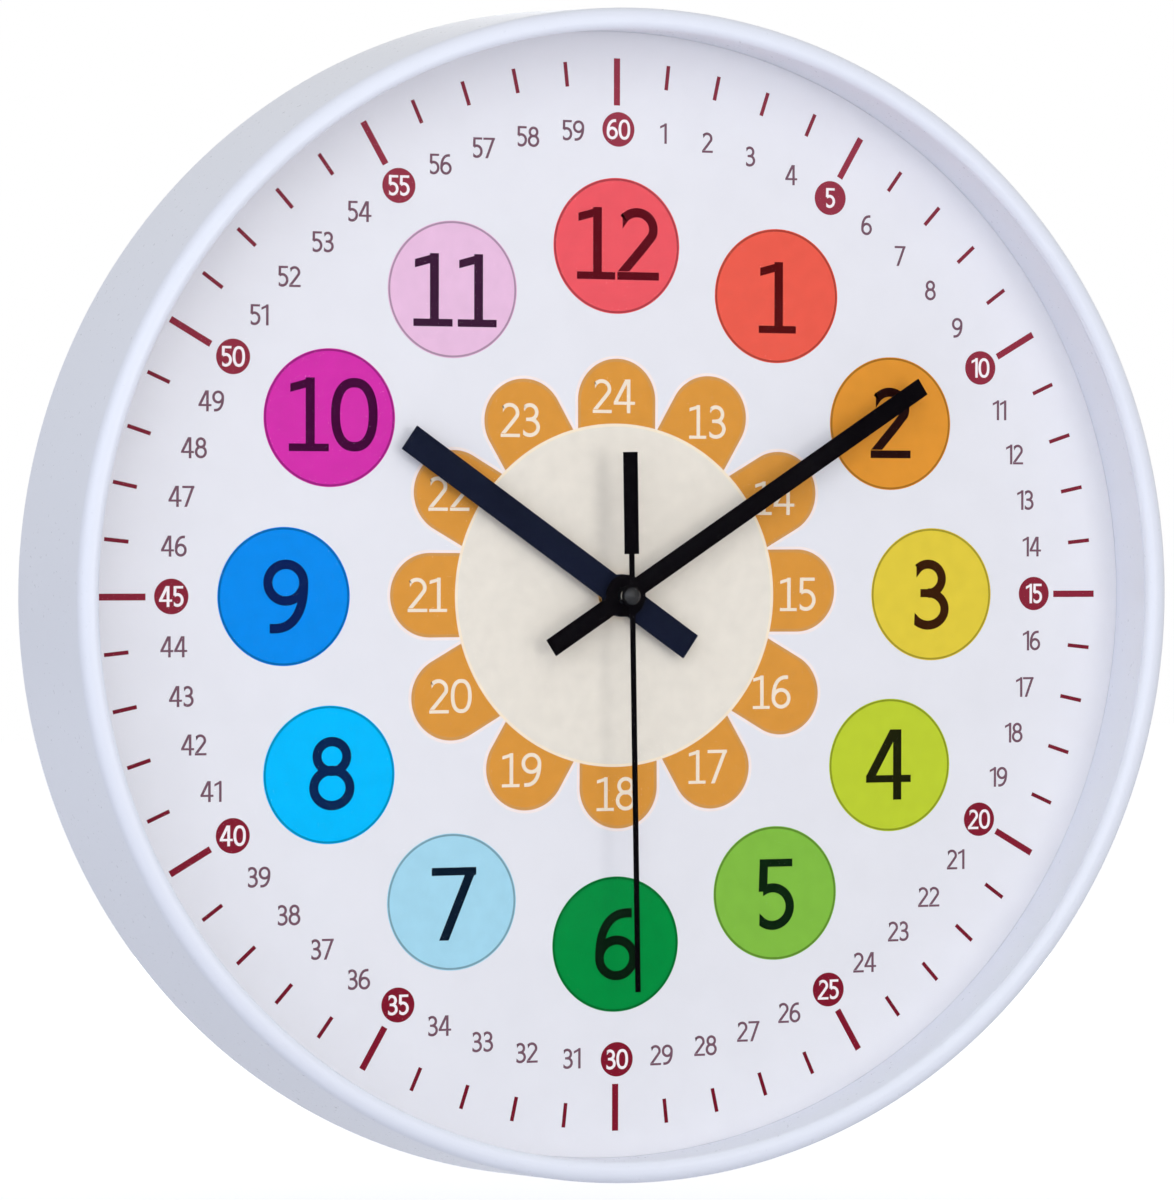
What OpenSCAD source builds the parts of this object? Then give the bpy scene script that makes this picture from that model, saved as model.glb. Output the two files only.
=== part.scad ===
// Teaching wall clock: a round white quartz clock with a printed learning dial.
// Everything is drawn lying down first: the wall is the plane z = 0, the dial faces +z, 12 o'clock is +y
// and the hands turn about the z axis. stand() then hangs it up: the front faces -Y, 12 o'clock is +Z and
// the origin is the middle of the hanger's nail hole, on the movement's rear face.

/* [Case] */
// Outer diameter of the case where it meets the wall
case_d = 305; // [295:1:320]
// Depth of the case from the wall to the front of the rim
case_depth = 44; // [42:0.5:50]
// How much smaller the radius is at the front than at the wall
case_flare = 3.4; // [2:0.1:4]
// Width of the front rim
rim_w = 5.3; // [5.1:0.1:7]
// Radius of the rim's outer edge
rim_round_out = 3; // [2:0.1:3.2]
// Radius of the rim's inner edge
rim_round_in = 2; // [1:0.1:2.1]
// Thickness of the skirt
skirt_t = 1.6; // [1.4:0.1:2]
// Thickness of the inner wall between lens and dial
inner_wall_t = 1.6; // [1.2:0.1:1.8]
// How much wider the inner wall gets from the lens to the dial
wall_draft = 0.35; // [0.2:0.05:0.8]
// Depth of the hollow between the inner wall and the skirt
core_depth = 13.5; // [8:0.5:14]
// Distance from the front of the rim back to the dial
dial_depth = 21.5; // [20.5:0.5:24]

/* [Lens] */
// Thickness of the clear lens
lens_t = 1.8; // [1.5:0.1:2]
// Clear height from the dial to the lens
lens_gap = 17; // [15.5:0.25:17]
// How far the rim reaches over the edge of the lens
lens_bite = 0.8; // [0.5:0.1:1]
// Play round the edge of the lens
lens_play = 0.15; // [0.1:0.05:0.2]
// Radius of the snap bead that holds the lens
bead_r = 0.35; // [0.3:0.05:0.4]

/* [Dial plate] */
// Thickness of the dial plate
plate_t = 2.1; // [1.8:0.1:2.6]
// Thickness of the printed sheet
sheet_t = 0.12; // [0.1:0.01:0.2]
// Play round the edge of the dial plate
plate_play = 0.2; // [0.15:0.05:0.3]
// Height of the ribs on the back of the dial plate
rib_h = 3; // [2:0.5:6]
// Thickness of those ribs
rib_t = 1.4; // [1:0.1:2]
// Radius of the inner ring rib
rib_ring_in = 62; // [56:1:75]
// Radius of the outer ring rib
rib_ring_out = 104; // [90:1:125]
// Where the radial ribs start
rib_start = 46; // [45:1:54]
// Where the radial ribs end
rib_end = 141; // [130:1:142]
// Number of radial ribs
rib_count = 12; // [6:1:16]
// Height of the square frame round the movement
frame_h = 4; // [3:0.5:8]
// Play between that frame and the movement
frame_play = 0.3; // [0.2:0.05:0.5]

/* [Dial plate screws] */
// Number of screws
screw_count = 8; // [4:1:12]
// Radius of a screw's shank
screw_shank_r = 1; // [0.9:0.05:1.1]
// Radius of a screw's head
screw_head_r = 1.85; // [1.6:0.05:1.9]
// Height of a screw's head
screw_head_h = 1.4; // [1:0.1:1.8]
// Length of a screw below its head
screw_len = 8; // [6:0.5:10]
// Radius of a screw boss
boss_r = 2.4; // [2.2:0.1:2.6]

/* [Printed dial] */
// Distance from the dial's edge in to the ring of hour discs
hour_ring_inset = 55.1; // [52:0.1:58]
// Radius of an hour disc
hour_disc_r = 17.6; // [15:0.2:19]
// Distance from the dial's edge in to the ring of five minute dots
minute_ring_inset = 25.1; // [23:0.1:27]
// Radius of a five minute dot
minute_dot_r = 4.45; // [3:0.05:5]
// Distance from the dial's edge in to the long ticks
long_tick_inset = 6.9; // [4:0.1:10]
// Length of the long ticks
long_tick_len = 12.1; // [8:0.1:12.5]
// Width of the long ticks
long_tick_w = 1.7; // [1:0.1:2.4]
// Distance from the dial's edge in to the short ticks
short_tick_inset = 7.6; // [5:0.1:10]
// Length of the short ticks
short_tick_len = 6.3; // [4:0.1:8]
// Width of the short ticks
short_tick_w = 1; // [0.5:0.1:1.4]
// Radius of the cream disc in the middle
flower_r = 44.4; // [40:0.2:48]
// Radius that the four petals at 24, 15, 18 and 21 reach
petal_reach = 60.9; // [58:0.1:66]
// How much further the petals between them reach
petal_extra = 1.6; // [0:0.1:3]
// Radius of a petal's round end
petal_r = 10.6; // [9:0.1:11.3]
// Width of a petal where it meets the cream disc
petal_base_w = 21.2; // [16:0.2:21.4]
// How far a petal runs in under the cream disc
petal_tuck = 4.4; // [1:0.1:8]
// Height of the ink above the sheet
ink_t = 0.04; // [0.02:0.01:0.06]

/* [Movement housing] */
// Width of the movement above its battery bay
mv_w = 56; // [56:0.5:58]
// Thickness of the movement
mv_t = 16; // [16:0.25:17]
// Wall thickness of the housing
mv_wall = 1.2; // [1:0.05:1.3]
// Corner radius of the housing
mv_corner = 3; // [1.5:0.25:4]
// Thickness of the rubber gasket in front of the movement
gasket_t = 1; // [0.6:0.1:1.4]
// Outer radius of the gasket
gasket_r = 9; // [7:0.5:12]
// Radius of the plate's locating posts
post_r = 1.5; // [1.2:0.1:1.7]
// Radius of the pins on those posts
post_pin_r = 0.8; // [0.6:0.05:0.9]
// Distance of the upper clips from the middle
clip_spread = 14; // [12:0.5:16]

/* [Hanger] */
// Distance from the hands' axis up to the middle of the nail hole
hang_drop = 34.5; // [34:0.5:38]
// Radius of the nail hole
nail_hole_r = 4; // [3.5:0.1:4.2]
// Width of the slot above the nail hole
nail_slot_w = 3.6; // [3:0.1:4]
// Length of that slot above the middle of the hole
nail_slot_len = 7; // [6:0.25:8]
// Thickness of the hanger
hanger_t = 2; // [1.6:0.1:2.6]
// Width of the hanger
hanger_w = 18; // [16:0.5:22]
// Length of the hanger's foot, which slides between two rails on the movement
foot_len = 10; // [8:0.25:11]
// Thickness of that foot
foot_t = 1.6; // [1.2:0.1:2]
// Play of the foot between its rails
foot_play = 0.1; // [0.08:0.01:0.15]

/* [Battery] */
// Radius of the AA cell
cell_r = 7.25; // [7:0.05:7.3]
// Length of the AA cell without its contact button
cell_len = 49.2; // [48.5:0.1:49.5]
// Radius of the contact button
button_r = 2.75; // [2.2:0.05:3]
// Length of the contact button
button_len = 1.3; // [1:0.1:1.5]
// Play round the cell in its bay
cell_play = 0.35; // [0.3:0.05:0.4]
// Room for a contact between the cell's end and the bay's end wall
contact_room = 1.45; // [1.3:0.05:1.5]
// How far the cell stands towards the contact at its flat end
cell_shift = 0.35; // [0.2:0.05:0.4]
// Gap between the bay's curved wall and the centre wheel
bay_gap = 0.1; // [0.05:0.05:0.3]
// Thickness of the bay's curved wall
bay_wall = 0.8; // [0.6:0.05:0.85]
// Thickness of the contact strips
strip_t = 0.4; // [0.3:0.05:0.5]
// Width of the contact strips
strip_w = 5; // [3:0.25:6]

/* [Threaded bush and nut] */
// Radius of the threaded bush
bush_r = 3.5; // [3.4:0.05:3.7]
// Height of the bush above the dial
bush_top = 2.9; // [2.7:0.05:3]
// Radius of the bush's foot in the front housing
bush_foot_r = 5.5; // [5:0.1:6]
// Thickness of the flat washer
washer_t = 0.4; // [0.3:0.05:0.5]
// Outer radius of the flat washer
washer_r = 4.9; // [4.6:0.1:5.2]
// Width of the hex nut across its flats
nut_af = 9; // [8.8:0.1:9.6]
// Thickness of the hex nut
nut_t = 2; // [1.6:0.1:2.1]

/* [Hands] */
// Height of the hour hand's back above the dial
hour_h = 3.6; // [3.4:0.05:3.8]
// Height of the minute hand's back above the dial
minute_h = 6.4; // [6:0.1:7]
// Height of the second hand's back above the dial
second_h = 11; // [10:0.1:11.5]
// Thickness of the hour and minute hands
hand_t = 0.6; // [0.4:0.05:0.8]
// Thickness of the second hand
second_t = 0.35; // [0.3:0.05:0.5]
// Length of the hour hand
hour_len = 70.5; // [60:0.5:80]
// Length of the hour hand's tail
hour_tail = 23.4; // [12:0.2:30]
// Width of the hour hand
hour_w = 7.1; // [6:0.1:9]
// Radius of the hour hand's eye
hour_eye_r = 5.5; // [4.5:0.1:7]
// Length of the minute hand
minute_len = 100.3; // [90:0.5:110]
// Length of the minute hand's tail
minute_tail = 24.4; // [12:0.2:30]
// Width of the minute hand
minute_w = 4.8; // [4:0.1:7]
// Radius of the minute hand's eye
minute_eye_r = 5.4; // [4:0.1:6]
// Length of the second hand
second_len = 101.5; // [90:0.5:115]
// Width of a collet's neck round its bore
neck_t = 0.5; // [0.4:0.05:0.6]
// Length of the hour hand's collet behind the hand
hour_barrel_h = 0.4; // [0.3:0.05:0.45]
// Height of its rolled rim in front
hour_rim_h = 0.4; // [0.2:0.05:0.5]
// Length of the minute hand's collet behind the hand
minute_barrel_h = 1.2; // [0.8:0.05:1.3]
// Height of its rolled rim in front
minute_rim_h = 0.3; // [0.2:0.05:0.5]
// Length of the second hand's bush behind the hand
second_barrel_h = 2.6; // [1.5:0.1:3]
// Width of the second hand
second_w = 1.4; // [1:0.1:2]
// Where the counterweight starts
weight_start = 10.7; // [8:0.1:14]
// Where the counterweight ends
weight_end = 36.8; // [30:0.2:45]
// Width of the counterweight
weight_w = 3.9; // [3:0.1:5]
// Radius of the second hand's eye
second_eye_r = 2.9; // [2.4:0.1:3.4]
// Height of the domed cap on the second hand
cap_h = 1.2; // [0.8:0.1:1.6]
// Time shown, hour hand in degrees after 12 o'clock
hour_angle = 304.75; // [0:0.25:360]
// Time shown, minute hand in degrees after 12 o'clock
minute_angle = 57; // [0:0.5:360]
// Time shown, second hand in degrees after 12 o'clock
second_angle = 179; // [0:1:360]

/* [Shafts] */
// Radius of the steel seconds arbor
arbor_r = 0.6; // [0.5:0.02:0.64]
// Outer radius of the minute tube
minute_tube_r = 1.6; // [1.5:0.02:1.66]
// Outer radius of the hour tube
hour_tube_r = 2.5; // [2.4:0.02:2.56]
// Radius of the thin pivots at the ends of the small arbors
pivot_r = 0.4; // [0.3:0.02:0.5]
// Radius of the small arbors between their pivots
spindle_r = 0.8; // [0.6:0.05:0.9]
// Radial running clearance of a shaft in its hole
run_gap = 0.06; // [0.04:0.01:0.08]
// Radial clearance of pieces that are pressed together
seat_gap = 0.02; // [0.01:0.01:0.04]

/* [Gear train] */
// Module of the seconds wheel and intermediate pinion
seconds_mod = 0.44; // [0.42:0.005:0.445]
// Module of the intermediate wheel and rotor pinion
inter_mod = 0.3; // [0.29:0.005:0.31]
// Module of the third wheel and seconds pinion
third_mod = 0.34; // [0.33:0.005:0.345]
// Module of the minute wheel and cannon pinion
minute_mod = 0.5; // [0.49:0.005:0.505]
// Thickness of a wheel
wheel_t = 0.8; // [0.6:0.05:0.9]
// Direction from the centre to the third wheel
third_angle = 10; // [8:1:12]
// Direction from the centre to the intermediate wheel
inter_angle = 120; // [118:0.5:122]
// Direction from the intermediate wheel to the rotor
rotor_angle = 195; // [193:1:197]
// Direction from the centre to the minute wheel
motion_angle = 72.5; // [71:0.5:74]

/* [Levels above the movement's rear face] */
// Underside of the intermediate wheel
inter_level = 2.4; // [2.3:0.05:2.5]
// Underside of the seconds wheel
seconds_level = 4.5; // [4.4:0.05:4.6]
// Underside of the third wheel
third_level = 6.5; // [6.4:0.05:6.6]
// Underside of the middle plate
middle_level = 7.6; // [7.55:0.05:7.7]
// Underside of the centre wheel
centre_level = 9.1; // [9.05:0.05:9.2]
// Underside of the minute wheel
minute_level = 12; // [11.8:0.05:12.1]
// Underside of the hour wheel
hour_level = 13.4; // [13.35:0.05:13.45]
// Thickness of the middle plate
middle_t = 1; // [0.8:0.05:1.05]

/* [Motor and circuit] */
// Radius of the rotor magnet
magnet_r = 2.5; // [2.2:0.05:2.6]
// Height of the rotor magnet
magnet_h = 2.2; // [1.8:0.1:2.3]
// Air gap between magnet and stator
air_gap = 0.4; // [0.3:0.05:0.5]
// Thickness of the stator plate
stator_t = 0.8; // [0.6:0.05:1]
// Width of the stator round the rotor
stator_ring_w = 1.5; // [1.2:0.05:1.6]
// Length of the coil bobbin
bobbin_len = 22; // [20:0.5:23]
// Radius of the winding
coil_r = 2.6; // [2.4:0.05:2.7]
// Distance from the movement's side to the coil's axis
coil_inset = 4.4; // [4.2:0.05:4.5]
// Distance of the chip to the right of the hands' axis
chip_x = 14; // [12:0.5:16]
// Thickness of the circuit board
board_t = 0.8; // [0.6:0.1:1]
// Radius of the setting knob
knob_r = 5; // [4:0.25:6]
// Height of the setting knob
knob_h = 1.6; // [1.2:0.1:2]

/* [Hidden] */
$fn = 96;

// Tooth counts, which timekeeping sets: the rotor turns half a turn a second, and 1:6, 1:5, 1:7.5, 1:8
// and 1:12 bring that down to the second, minute and hour hands
pinion_leaves = 8;
inter_teeth = 48;
seconds_teeth = 40;
third_teeth = 60;
centre_teeth = 64;
cannon_leaves = 12;
minute_teeth = 36;
minute_leaves = 10;
hour_teeth = 40;

// Small allowances used throughout
over = 0.5;
end_play = 0.2;
screw_play = 0.12;
bush_play = 0.15;
sheet_play = 0.1;
knob_play = 0.3;
board_play = 0.2;
touch_play = 0.05;

// Case
base_r = case_d / 2;
flare_slope = case_flare / case_depth;
flare_tilt = atan(flare_slope);
lip_r = base_r - case_flare - rim_w;
dial_z = case_depth - dial_depth;
plate_z = dial_z - sheet_t;
lens_z = dial_z + lens_gap;
ledge_z = lens_z + lens_t;
lens_r = lip_r + lens_bite;
pocket_r = lens_r + lens_play;
dial_r = pocket_r + wall_draft;
hour_ring_r = dial_r - hour_ring_inset;
minute_ring_r = dial_r - minute_ring_inset;
crest_out_z = case_depth - rim_round_out;
crest_out_r = base_r - crest_out_z * flare_slope - rim_round_out / cos(flare_tilt);
crest_in_r = lip_r + rim_round_in;
core_top = dial_z + core_depth;
plate_r = skirt_r(plate_z) - plate_play;
screw_ring_r = (dial_r + plate_r) / 2;
screw_hole_r = screw_shank_r + screw_play;
plate_back = plate_z - plate_t;

// Tooth forms: width at the root and tip as shares of one tooth's pitch, heights in modules
wheel_form = [0.68, 0.20, 0.95, 1.1];
leaf_form = [0.46, 0.24, 0.8, 1.3];

// How far a pinion stands past the wheel it drives, and the centre wheel's friction hub
leaf_over = 0.1;
centre_hub_r = 2.6;
centre_hub_h = 1.9;

// Gear centres
third_dist = (pinion_leaves + third_teeth) / 2 * third_mod;
centre_mod = 2 * third_dist / (pinion_leaves + centre_teeth);
inter_dist = (pinion_leaves + seconds_teeth) / 2 * seconds_mod;
rotor_dist = (pinion_leaves + inter_teeth) / 2 * inter_mod;
motion_dist = (cannon_leaves + minute_teeth) / 2 * minute_mod;
hour_mod = 2 * motion_dist / (minute_leaves + hour_teeth);
third_at = polar(third_dist, third_angle);
inter_at = polar(inter_dist, inter_angle);
rotor_at = inter_at + polar(rotor_dist, rotor_angle);
motion_at = polar(motion_dist, motion_angle);
centre_tip_r = (centre_teeth / 2 + wheel_form[2]) * centre_mod;

// Movement
front_z = plate_back - gasket_t;
back_z = front_z - mv_t;
half = mv_w / 2;
in_half = half - mv_wall;
floor_z = back_z + mv_wall;
lid_z = front_z - mv_wall;
bay_room = 0.2;
bay_r = cell_r + cell_play;
bay_out_r = bay_r + bay_wall;
bay_y = -centre_tip_r - bay_gap - bay_out_r;
bay_low = bay_y - bay_r - bay_room - mv_wall;
cell_z = front_z - bay_wall - bay_r;
split_y = bay_y + sqrt(bay_out_r * bay_out_r - pow(bay_out_r - mv_wall, 2));
cell_left = -cell_shift - (cell_len + button_len) / 2;
cell_right = -cell_shift + (cell_len + button_len) / 2;
// Half the width of the bay: that of the movement, or more where a long cell needs it
bay_half = max(half, (cell_len + button_len) / 2 + contact_room + mv_wall);
bay_in_half = bay_half - mv_wall;
tongue_half = 5;
tongue_step = 0.4;
tongue_tip = 1;
contact_gap = 0.1;
tail_rise = 1.4;
tail_low = bay_y + bay_out_r + tail_rise;
tail_len = 7;
tail_play = 0.3;
shoulder_y = tail_low + tail_len + mv_corner + tail_play;
least_corner = 0.5;

// Levels
pivot_boss_r = 1.5;
pivot_boss_h = 0.9;
boss_top = floor_z + pivot_boss_h;
inter_z = back_z + inter_level;
seconds_z = back_z + seconds_level;
third_z = back_z + third_level;
middle_z = back_z + middle_level;
middle_top = middle_z + middle_t;
centre_z = back_z + centre_level;
minute_z = back_z + minute_level;
hour_z = back_z + hour_level;
stator_drop = 2.5;
stator_z = middle_z - stator_drop;
stator_mid = stator_z + stator_t / 2;
core_top_z = stator_z + 2 * stator_t;
core_w = 2.4;
core_post_r = 1.3;
core_pin_r = 0.6;
clip_w = 5;
clip_drop = 0.9;
clip_side_y = 5;
clip_hold = 0.4;
clip_reach = 0.8;
clip_h = 0.9;
clip_play = 0.2;
lip_in = 0.1;
lip_t = 1;
lip_h = 1.5;
coil_z = stator_mid + stator_t;
plate_out = 0.1;
plate_side = 0.8;
third_hole_r = 2.2;
board_z = floor_z + end_play;
post_rise = 2.4;
post_inset = 4.4;
post_rotor_gap = 1.8;
post_drop = 5.4;
post_low = bay_y + bay_out_r + post_rise;
post_right = half - post_inset;
post_left = rotor_at[0] - post_rotor_gap;
post_right_top = 14.5;
post_left_top = half - post_drop;
post_spots = [[post_right, post_low], [post_right, post_right_top], [post_left, post_low],
    [post_left, post_left_top]];
pin_rise = 0.4;
coil_x = -half + coil_inset;
bobbin_r = 1.9;
flange_t = 0.8;
flange_lip = 0.1;
leg_clear = 0.3;
leg_out = 1.7;
leg_in = 3.4;
leg_from = 40;
leg_to = 160;
knob_z = back_z - knob_play - knob_h;
stator_r = magnet_r + air_gap + stator_ring_w;

// Hands
collet_lip = 0.4;
collet_t = 1;
cap_inset = 0.5;

// Hanger
foot_y = half + foot_play;
rail_z = back_z + hanger_t + foot_play;
rail_top = foot_y + foot_t + foot_play;
rail_t = 1.2;
rail_reach = 1.4;
tooth_w = 4;
tooth_len = 2;
tooth_bite = 0.7;
tooth_rise = 1;
tooth_z = back_z + foot_len / 2 + tooth_rise;
hanger_arch = 3;
gusset_out = 5;
gusset_play = 0.4;
core_pin_out = 1.6;
core_end = 1.5;
core_reach = bobbin_len / 2 + core_pin_out;
core_spots = [for (s = [-1, 1]) [coil_x, rotor_at[1] + s * core_reach]];
board_clear = 1;
board_side = 0.3;
board_inset = 1.4;
board_strip = 4;
board_column = 4.8;
board_low = inter_at[1] + inter_teeth * inter_mod / 2 + board_clear;
board_high = in_half - board_inset;
part_row = (board_low + board_high) / 2;
chip_r = 3.6;
chip_h = 1.2;
chip_dome_r = 6.3;
crystal_x = -2;
crystal_r = 1;
crystal_len = 6;

// Colours of the twelve hour discs, from 12 o'clock onwards
disc_colours = ["#ee5a62", "#f4604e", "#e49435", "#e2c93e", "#b9d334", "#7cc142", "#00913f", "#a3d8e2",
    "#00b5ff", "#0a84ec", "#cf2aae", "#e8b8dc"];

function polar(r, a) = [r * cos(a), r * sin(a)];
// Inner radius of the skirt at height z
function skirt_r(z) = base_r - z * flare_slope - skirt_t / cos(flare_tilt);
// Corners of a toothed ring, with one tooth centred on the x axis
function toothed(n, mod, form) = [
    for (i = [0:n - 1])
    for (c = [[-form[3], -form[0]], [form[2], -form[1]], [form[2], form[1]], [-form[3], form[0]]])
    polar(n * mod / 2 + c[0] * mod, (i + c[1] / 2) * 360 / n)];

// Hangs what is drawn lying down on its nail
module stand() translate([0, back_z, -hang_drop]) rotate([90, 0, 0]) children();

module at(place, z) translate([place[0], place[1], z]) children();

module tube(outer, inner, h) {
    difference() {
        cylinder(r = outer, h = h);
        translate([0, 0, -over]) cylinder(r = inner, h = h + 2 * over);
    }
}

module rounded_rect(low, high, corner) {
    size = high - low;
    translate(low + [0, corner]) square(size - [0, 2 * corner]);
    translate(low + [corner, 0]) square(size - [2 * corner, 0]);
    for (x = [low[0] + corner, high[0] - corner], y = [low[1] + corner, high[1] - corner])
        translate([x, y]) circle(corner);
}

// Outline of the movement, grown or shrunk all round: as wide as its cell up to the shoulder
module outline(grow) {
    corner = max(mv_corner + grow, least_corner);
    rounded_rect([-half - grow, bay_low - grow], [half + grow, half + grow], corner);
    if (bay_half > half)
        rounded_rect([-bay_half - grow, bay_low - grow], [bay_half + grow, shoulder_y + grow], corner);
}

module outline_slab(grow, z, h) translate([0, 0, z]) linear_extrude(h) outline(grow);

// Wheel with a ring of round lightening holes, rim teeth and a hub
module wheel(n, mod, t, phase, hub_r, holes) {
    root_r = n * mod / 2 - wheel_form[3] * mod;
    hole_ring = (root_r + hub_r) / 2;
    hole_r = (root_r - hub_r) * 0.3;
    difference() {
        rotate(phase) linear_extrude(t) polygon(toothed(n, mod, wheel_form));
        for (i = [0:holes - 1]) at(polar(hole_ring, i * 360 / holes), -over)
            cylinder(r = hole_r, h = t + 2 * over);
    }
}

module pinion(n, mod, h, phase) rotate(phase) linear_extrude(h) polygon(toothed(n, mod, leaf_form));

// Case: the moulded ring with its flared skirt, rounded rim, lens seat, inner wall and screw bosses

module quarter(r) intersection() {
    circle(r);
    square(r);
}

module case_section() {
    polygon([
        [base_r, 0],
        [crest_out_r, crest_out_z] + rim_round_out * [cos(flare_tilt), sin(flare_tilt)],
        [crest_out_r, crest_out_z],
        [crest_out_r, case_depth],
        [crest_in_r, case_depth],
        [crest_in_r, case_depth - rim_round_in],
        [lip_r, case_depth - rim_round_in],
        [lip_r, ledge_z],
        [pocket_r, ledge_z],
        [pocket_r, lens_z],
        [dial_r, plate_z],
        [dial_r + inner_wall_t, plate_z],
        [dial_r + inner_wall_t, core_top],
        [skirt_r(core_top), core_top],
        [skirt_r(0), 0]]);
    translate([crest_out_r, crest_out_z]) quarter(rim_round_out);
    translate([crest_in_r, case_depth - rim_round_in]) mirror([1, 0]) quarter(rim_round_in);
    translate([pocket_r + bead_r / 3, lens_z - bead_r]) circle(bead_r);
}

// The hollow between inner wall and skirt, a little wider than it is, so that bosses join both walls
module core_section() {
    bite = 0.4;
    polygon([
        [dial_r + inner_wall_t - bite, plate_z],
        [skirt_r(plate_z) + bite, plate_z],
        [skirt_r(core_top) + bite, core_top + bite],
        [dial_r + inner_wall_t - bite, core_top + bite]]);
}

module screw_spots() for (i = [0:screw_count - 1]) rotate((i + 0.5) * 360 / screw_count)
    translate([screw_ring_r, 0, 0]) children();

module case_ring() {
    color("whitesmoke") stand() difference() {
        union() {
            rotate_extrude() case_section();
            intersection() {
                rotate_extrude() core_section();
                screw_spots() translate([0, 0, plate_z - over]) cylinder(r = boss_r, h = core_depth + 2);
            }
        }
        screw_spots() translate([0, 0, plate_z - over])
            cylinder(r = screw_shank_r + seat_gap, h = screw_len - plate_t + over + 1);
    }
}

module lens() {
    color("lightcyan", 0.35) stand() translate([0, 0, lens_z]) cylinder(r = lens_r, h = lens_t);
}

// Dial plate: a ribbed moulding with a square frame that locates the movement

module plate_ribs() {
    for (r = [rib_ring_in, rib_ring_out]) tube(r + rib_t / 2, r - rib_t / 2, rib_h + over);
    for (i = [0:rib_count - 1]) rotate((i + 0.5) * 360 / rib_count)
        translate([rib_start, -rib_t / 2, 0]) cube([rib_end - rib_start, rib_t, rib_h + over]);
}

module locating_frame() difference() {
    outline_slab(frame_play + rib_t, 0, frame_h + over);
    outline_slab(frame_play, -over, frame_h + 3 * over);
}

module dial_plate() {
    color("white") stand() difference() {
        union() {
            translate([0, 0, plate_back]) cylinder(r = plate_r, h = plate_t);
            translate([0, 0, plate_back - rib_h]) plate_ribs();
            translate([0, 0, plate_back - frame_h]) locating_frame();
        }
        translate([0, 0, plate_back - over]) cylinder(r = bush_r + bush_play, h = plate_t + 2 * over);
        screw_spots() translate([0, 0, plate_back - over])
            cylinder(r = screw_hole_r, h = plate_t + 2 * over);
    }
}

module tick(inset, len, w) translate([-w / 2, dial_r - inset - len, 0]) cube([w, len, sheet_t + ink_t]);

module petal(reach) {
    end_y = reach - petal_r;
    base_y = flower_r - petal_tuck;
    linear_extrude(sheet_t + ink_t) {
        translate([0, end_y]) circle(petal_r);
        polygon([
            [-petal_base_w / 2, base_y],
            [petal_base_w / 2, base_y],
            [petal_r, end_y],
            [-petal_r, end_y]]);
    }
}

// Printed sheet: the ink stands a hair above the paper
module dial_sheet() {
    ink_h = sheet_t + ink_t;
    stand() translate([0, 0, plate_z]) difference() {
        union() {
            color("white") cylinder(r = dial_r - sheet_play, h = sheet_t);
            for (i = [0:11]) rotate(-30 * i) {
                color(disc_colours[i]) translate([0, hour_ring_r, 0]) cylinder(r = hour_disc_r, h = ink_h);
                color("#8a2436") translate([0, minute_ring_r, 0]) cylinder(r = minute_dot_r, h = ink_h);
                color("#8a2436") tick(long_tick_inset, long_tick_len, long_tick_w);
                color("#e29a3f") petal(i % 3 == 0 ? petal_reach : petal_reach + petal_extra);
            }
            for (i = [0:59]) if (i % 5 != 0)
                color("#8a2436") rotate(6 * i) tick(short_tick_inset, short_tick_len, short_tick_w);
            color("#e8dcc8") cylinder(r = flower_r, h = ink_h + ink_t);
        }
        translate([0, 0, -over]) cylinder(r = bush_r + bush_play, h = ink_h + ink_t + 2 * over);
    }
}

module dial_screws() {
    color("silver") stand() screw_spots() {
        translate([0, 0, plate_back]) cylinder(r = screw_shank_r, h = screw_len);
        difference() {
            translate([0, 0, plate_back - screw_head_h]) cylinder(r = screw_head_r, h = screw_head_h);
            for (a = [0, 90]) rotate(a) translate([0, 0, plate_back - screw_head_h])
                cube([screw_head_r * 1.3, 0.5, screw_head_h], center = true);
        }
    }
}

// Movement housing

module bay_tube(r) translate([-bay_half, bay_y, cell_z]) rotate([0, 90, 0])
    cylinder(r = r, h = 2 * bay_half);

// The long hollow that holds the cell, open towards the wall
module bay_hollow() {
    intersection() {
        union() {
            bay_tube(bay_r);
            translate([-bay_half, bay_y - bay_r, back_z - over])
                cube([2 * bay_half, 2 * bay_r, cell_z - back_z + over]);
        }
        translate([-bay_in_half, bay_low, back_z - over]) cube([2 * bay_in_half, -bay_low, mv_t + over]);
    }
}

module bay_block() {
    bay_tube(bay_out_r);
    translate([-bay_half, bay_low, back_z])
        cube([2 * bay_half, bay_y + bay_out_r - bay_low, cell_z - back_z]);
    translate([-bay_half, bay_low, back_z]) cube([2 * bay_half, split_y - bay_low, mv_t]);
}

// Hanger: a plate with the keyhole, on a foot that slides between rails on the movement's top side
module hanger_plate() {
    top_y = hang_drop + nail_slot_len;
    arch_y = top_y - hanger_arch;
    linear_extrude(hanger_t) difference() {
        union() {
            translate([-hanger_w / 2, foot_y]) square([hanger_w, arch_y - foot_y]);
            translate([0, arch_y]) circle(hanger_w / 2);
        }
        translate([0, hang_drop]) circle(nail_hole_r);
        translate([-nail_slot_w / 2, hang_drop]) square([nail_slot_w, nail_slot_len - nail_slot_w / 2]);
        translate([0, top_y - nail_slot_w / 2]) circle(nail_slot_w / 2);
    }
}

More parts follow.
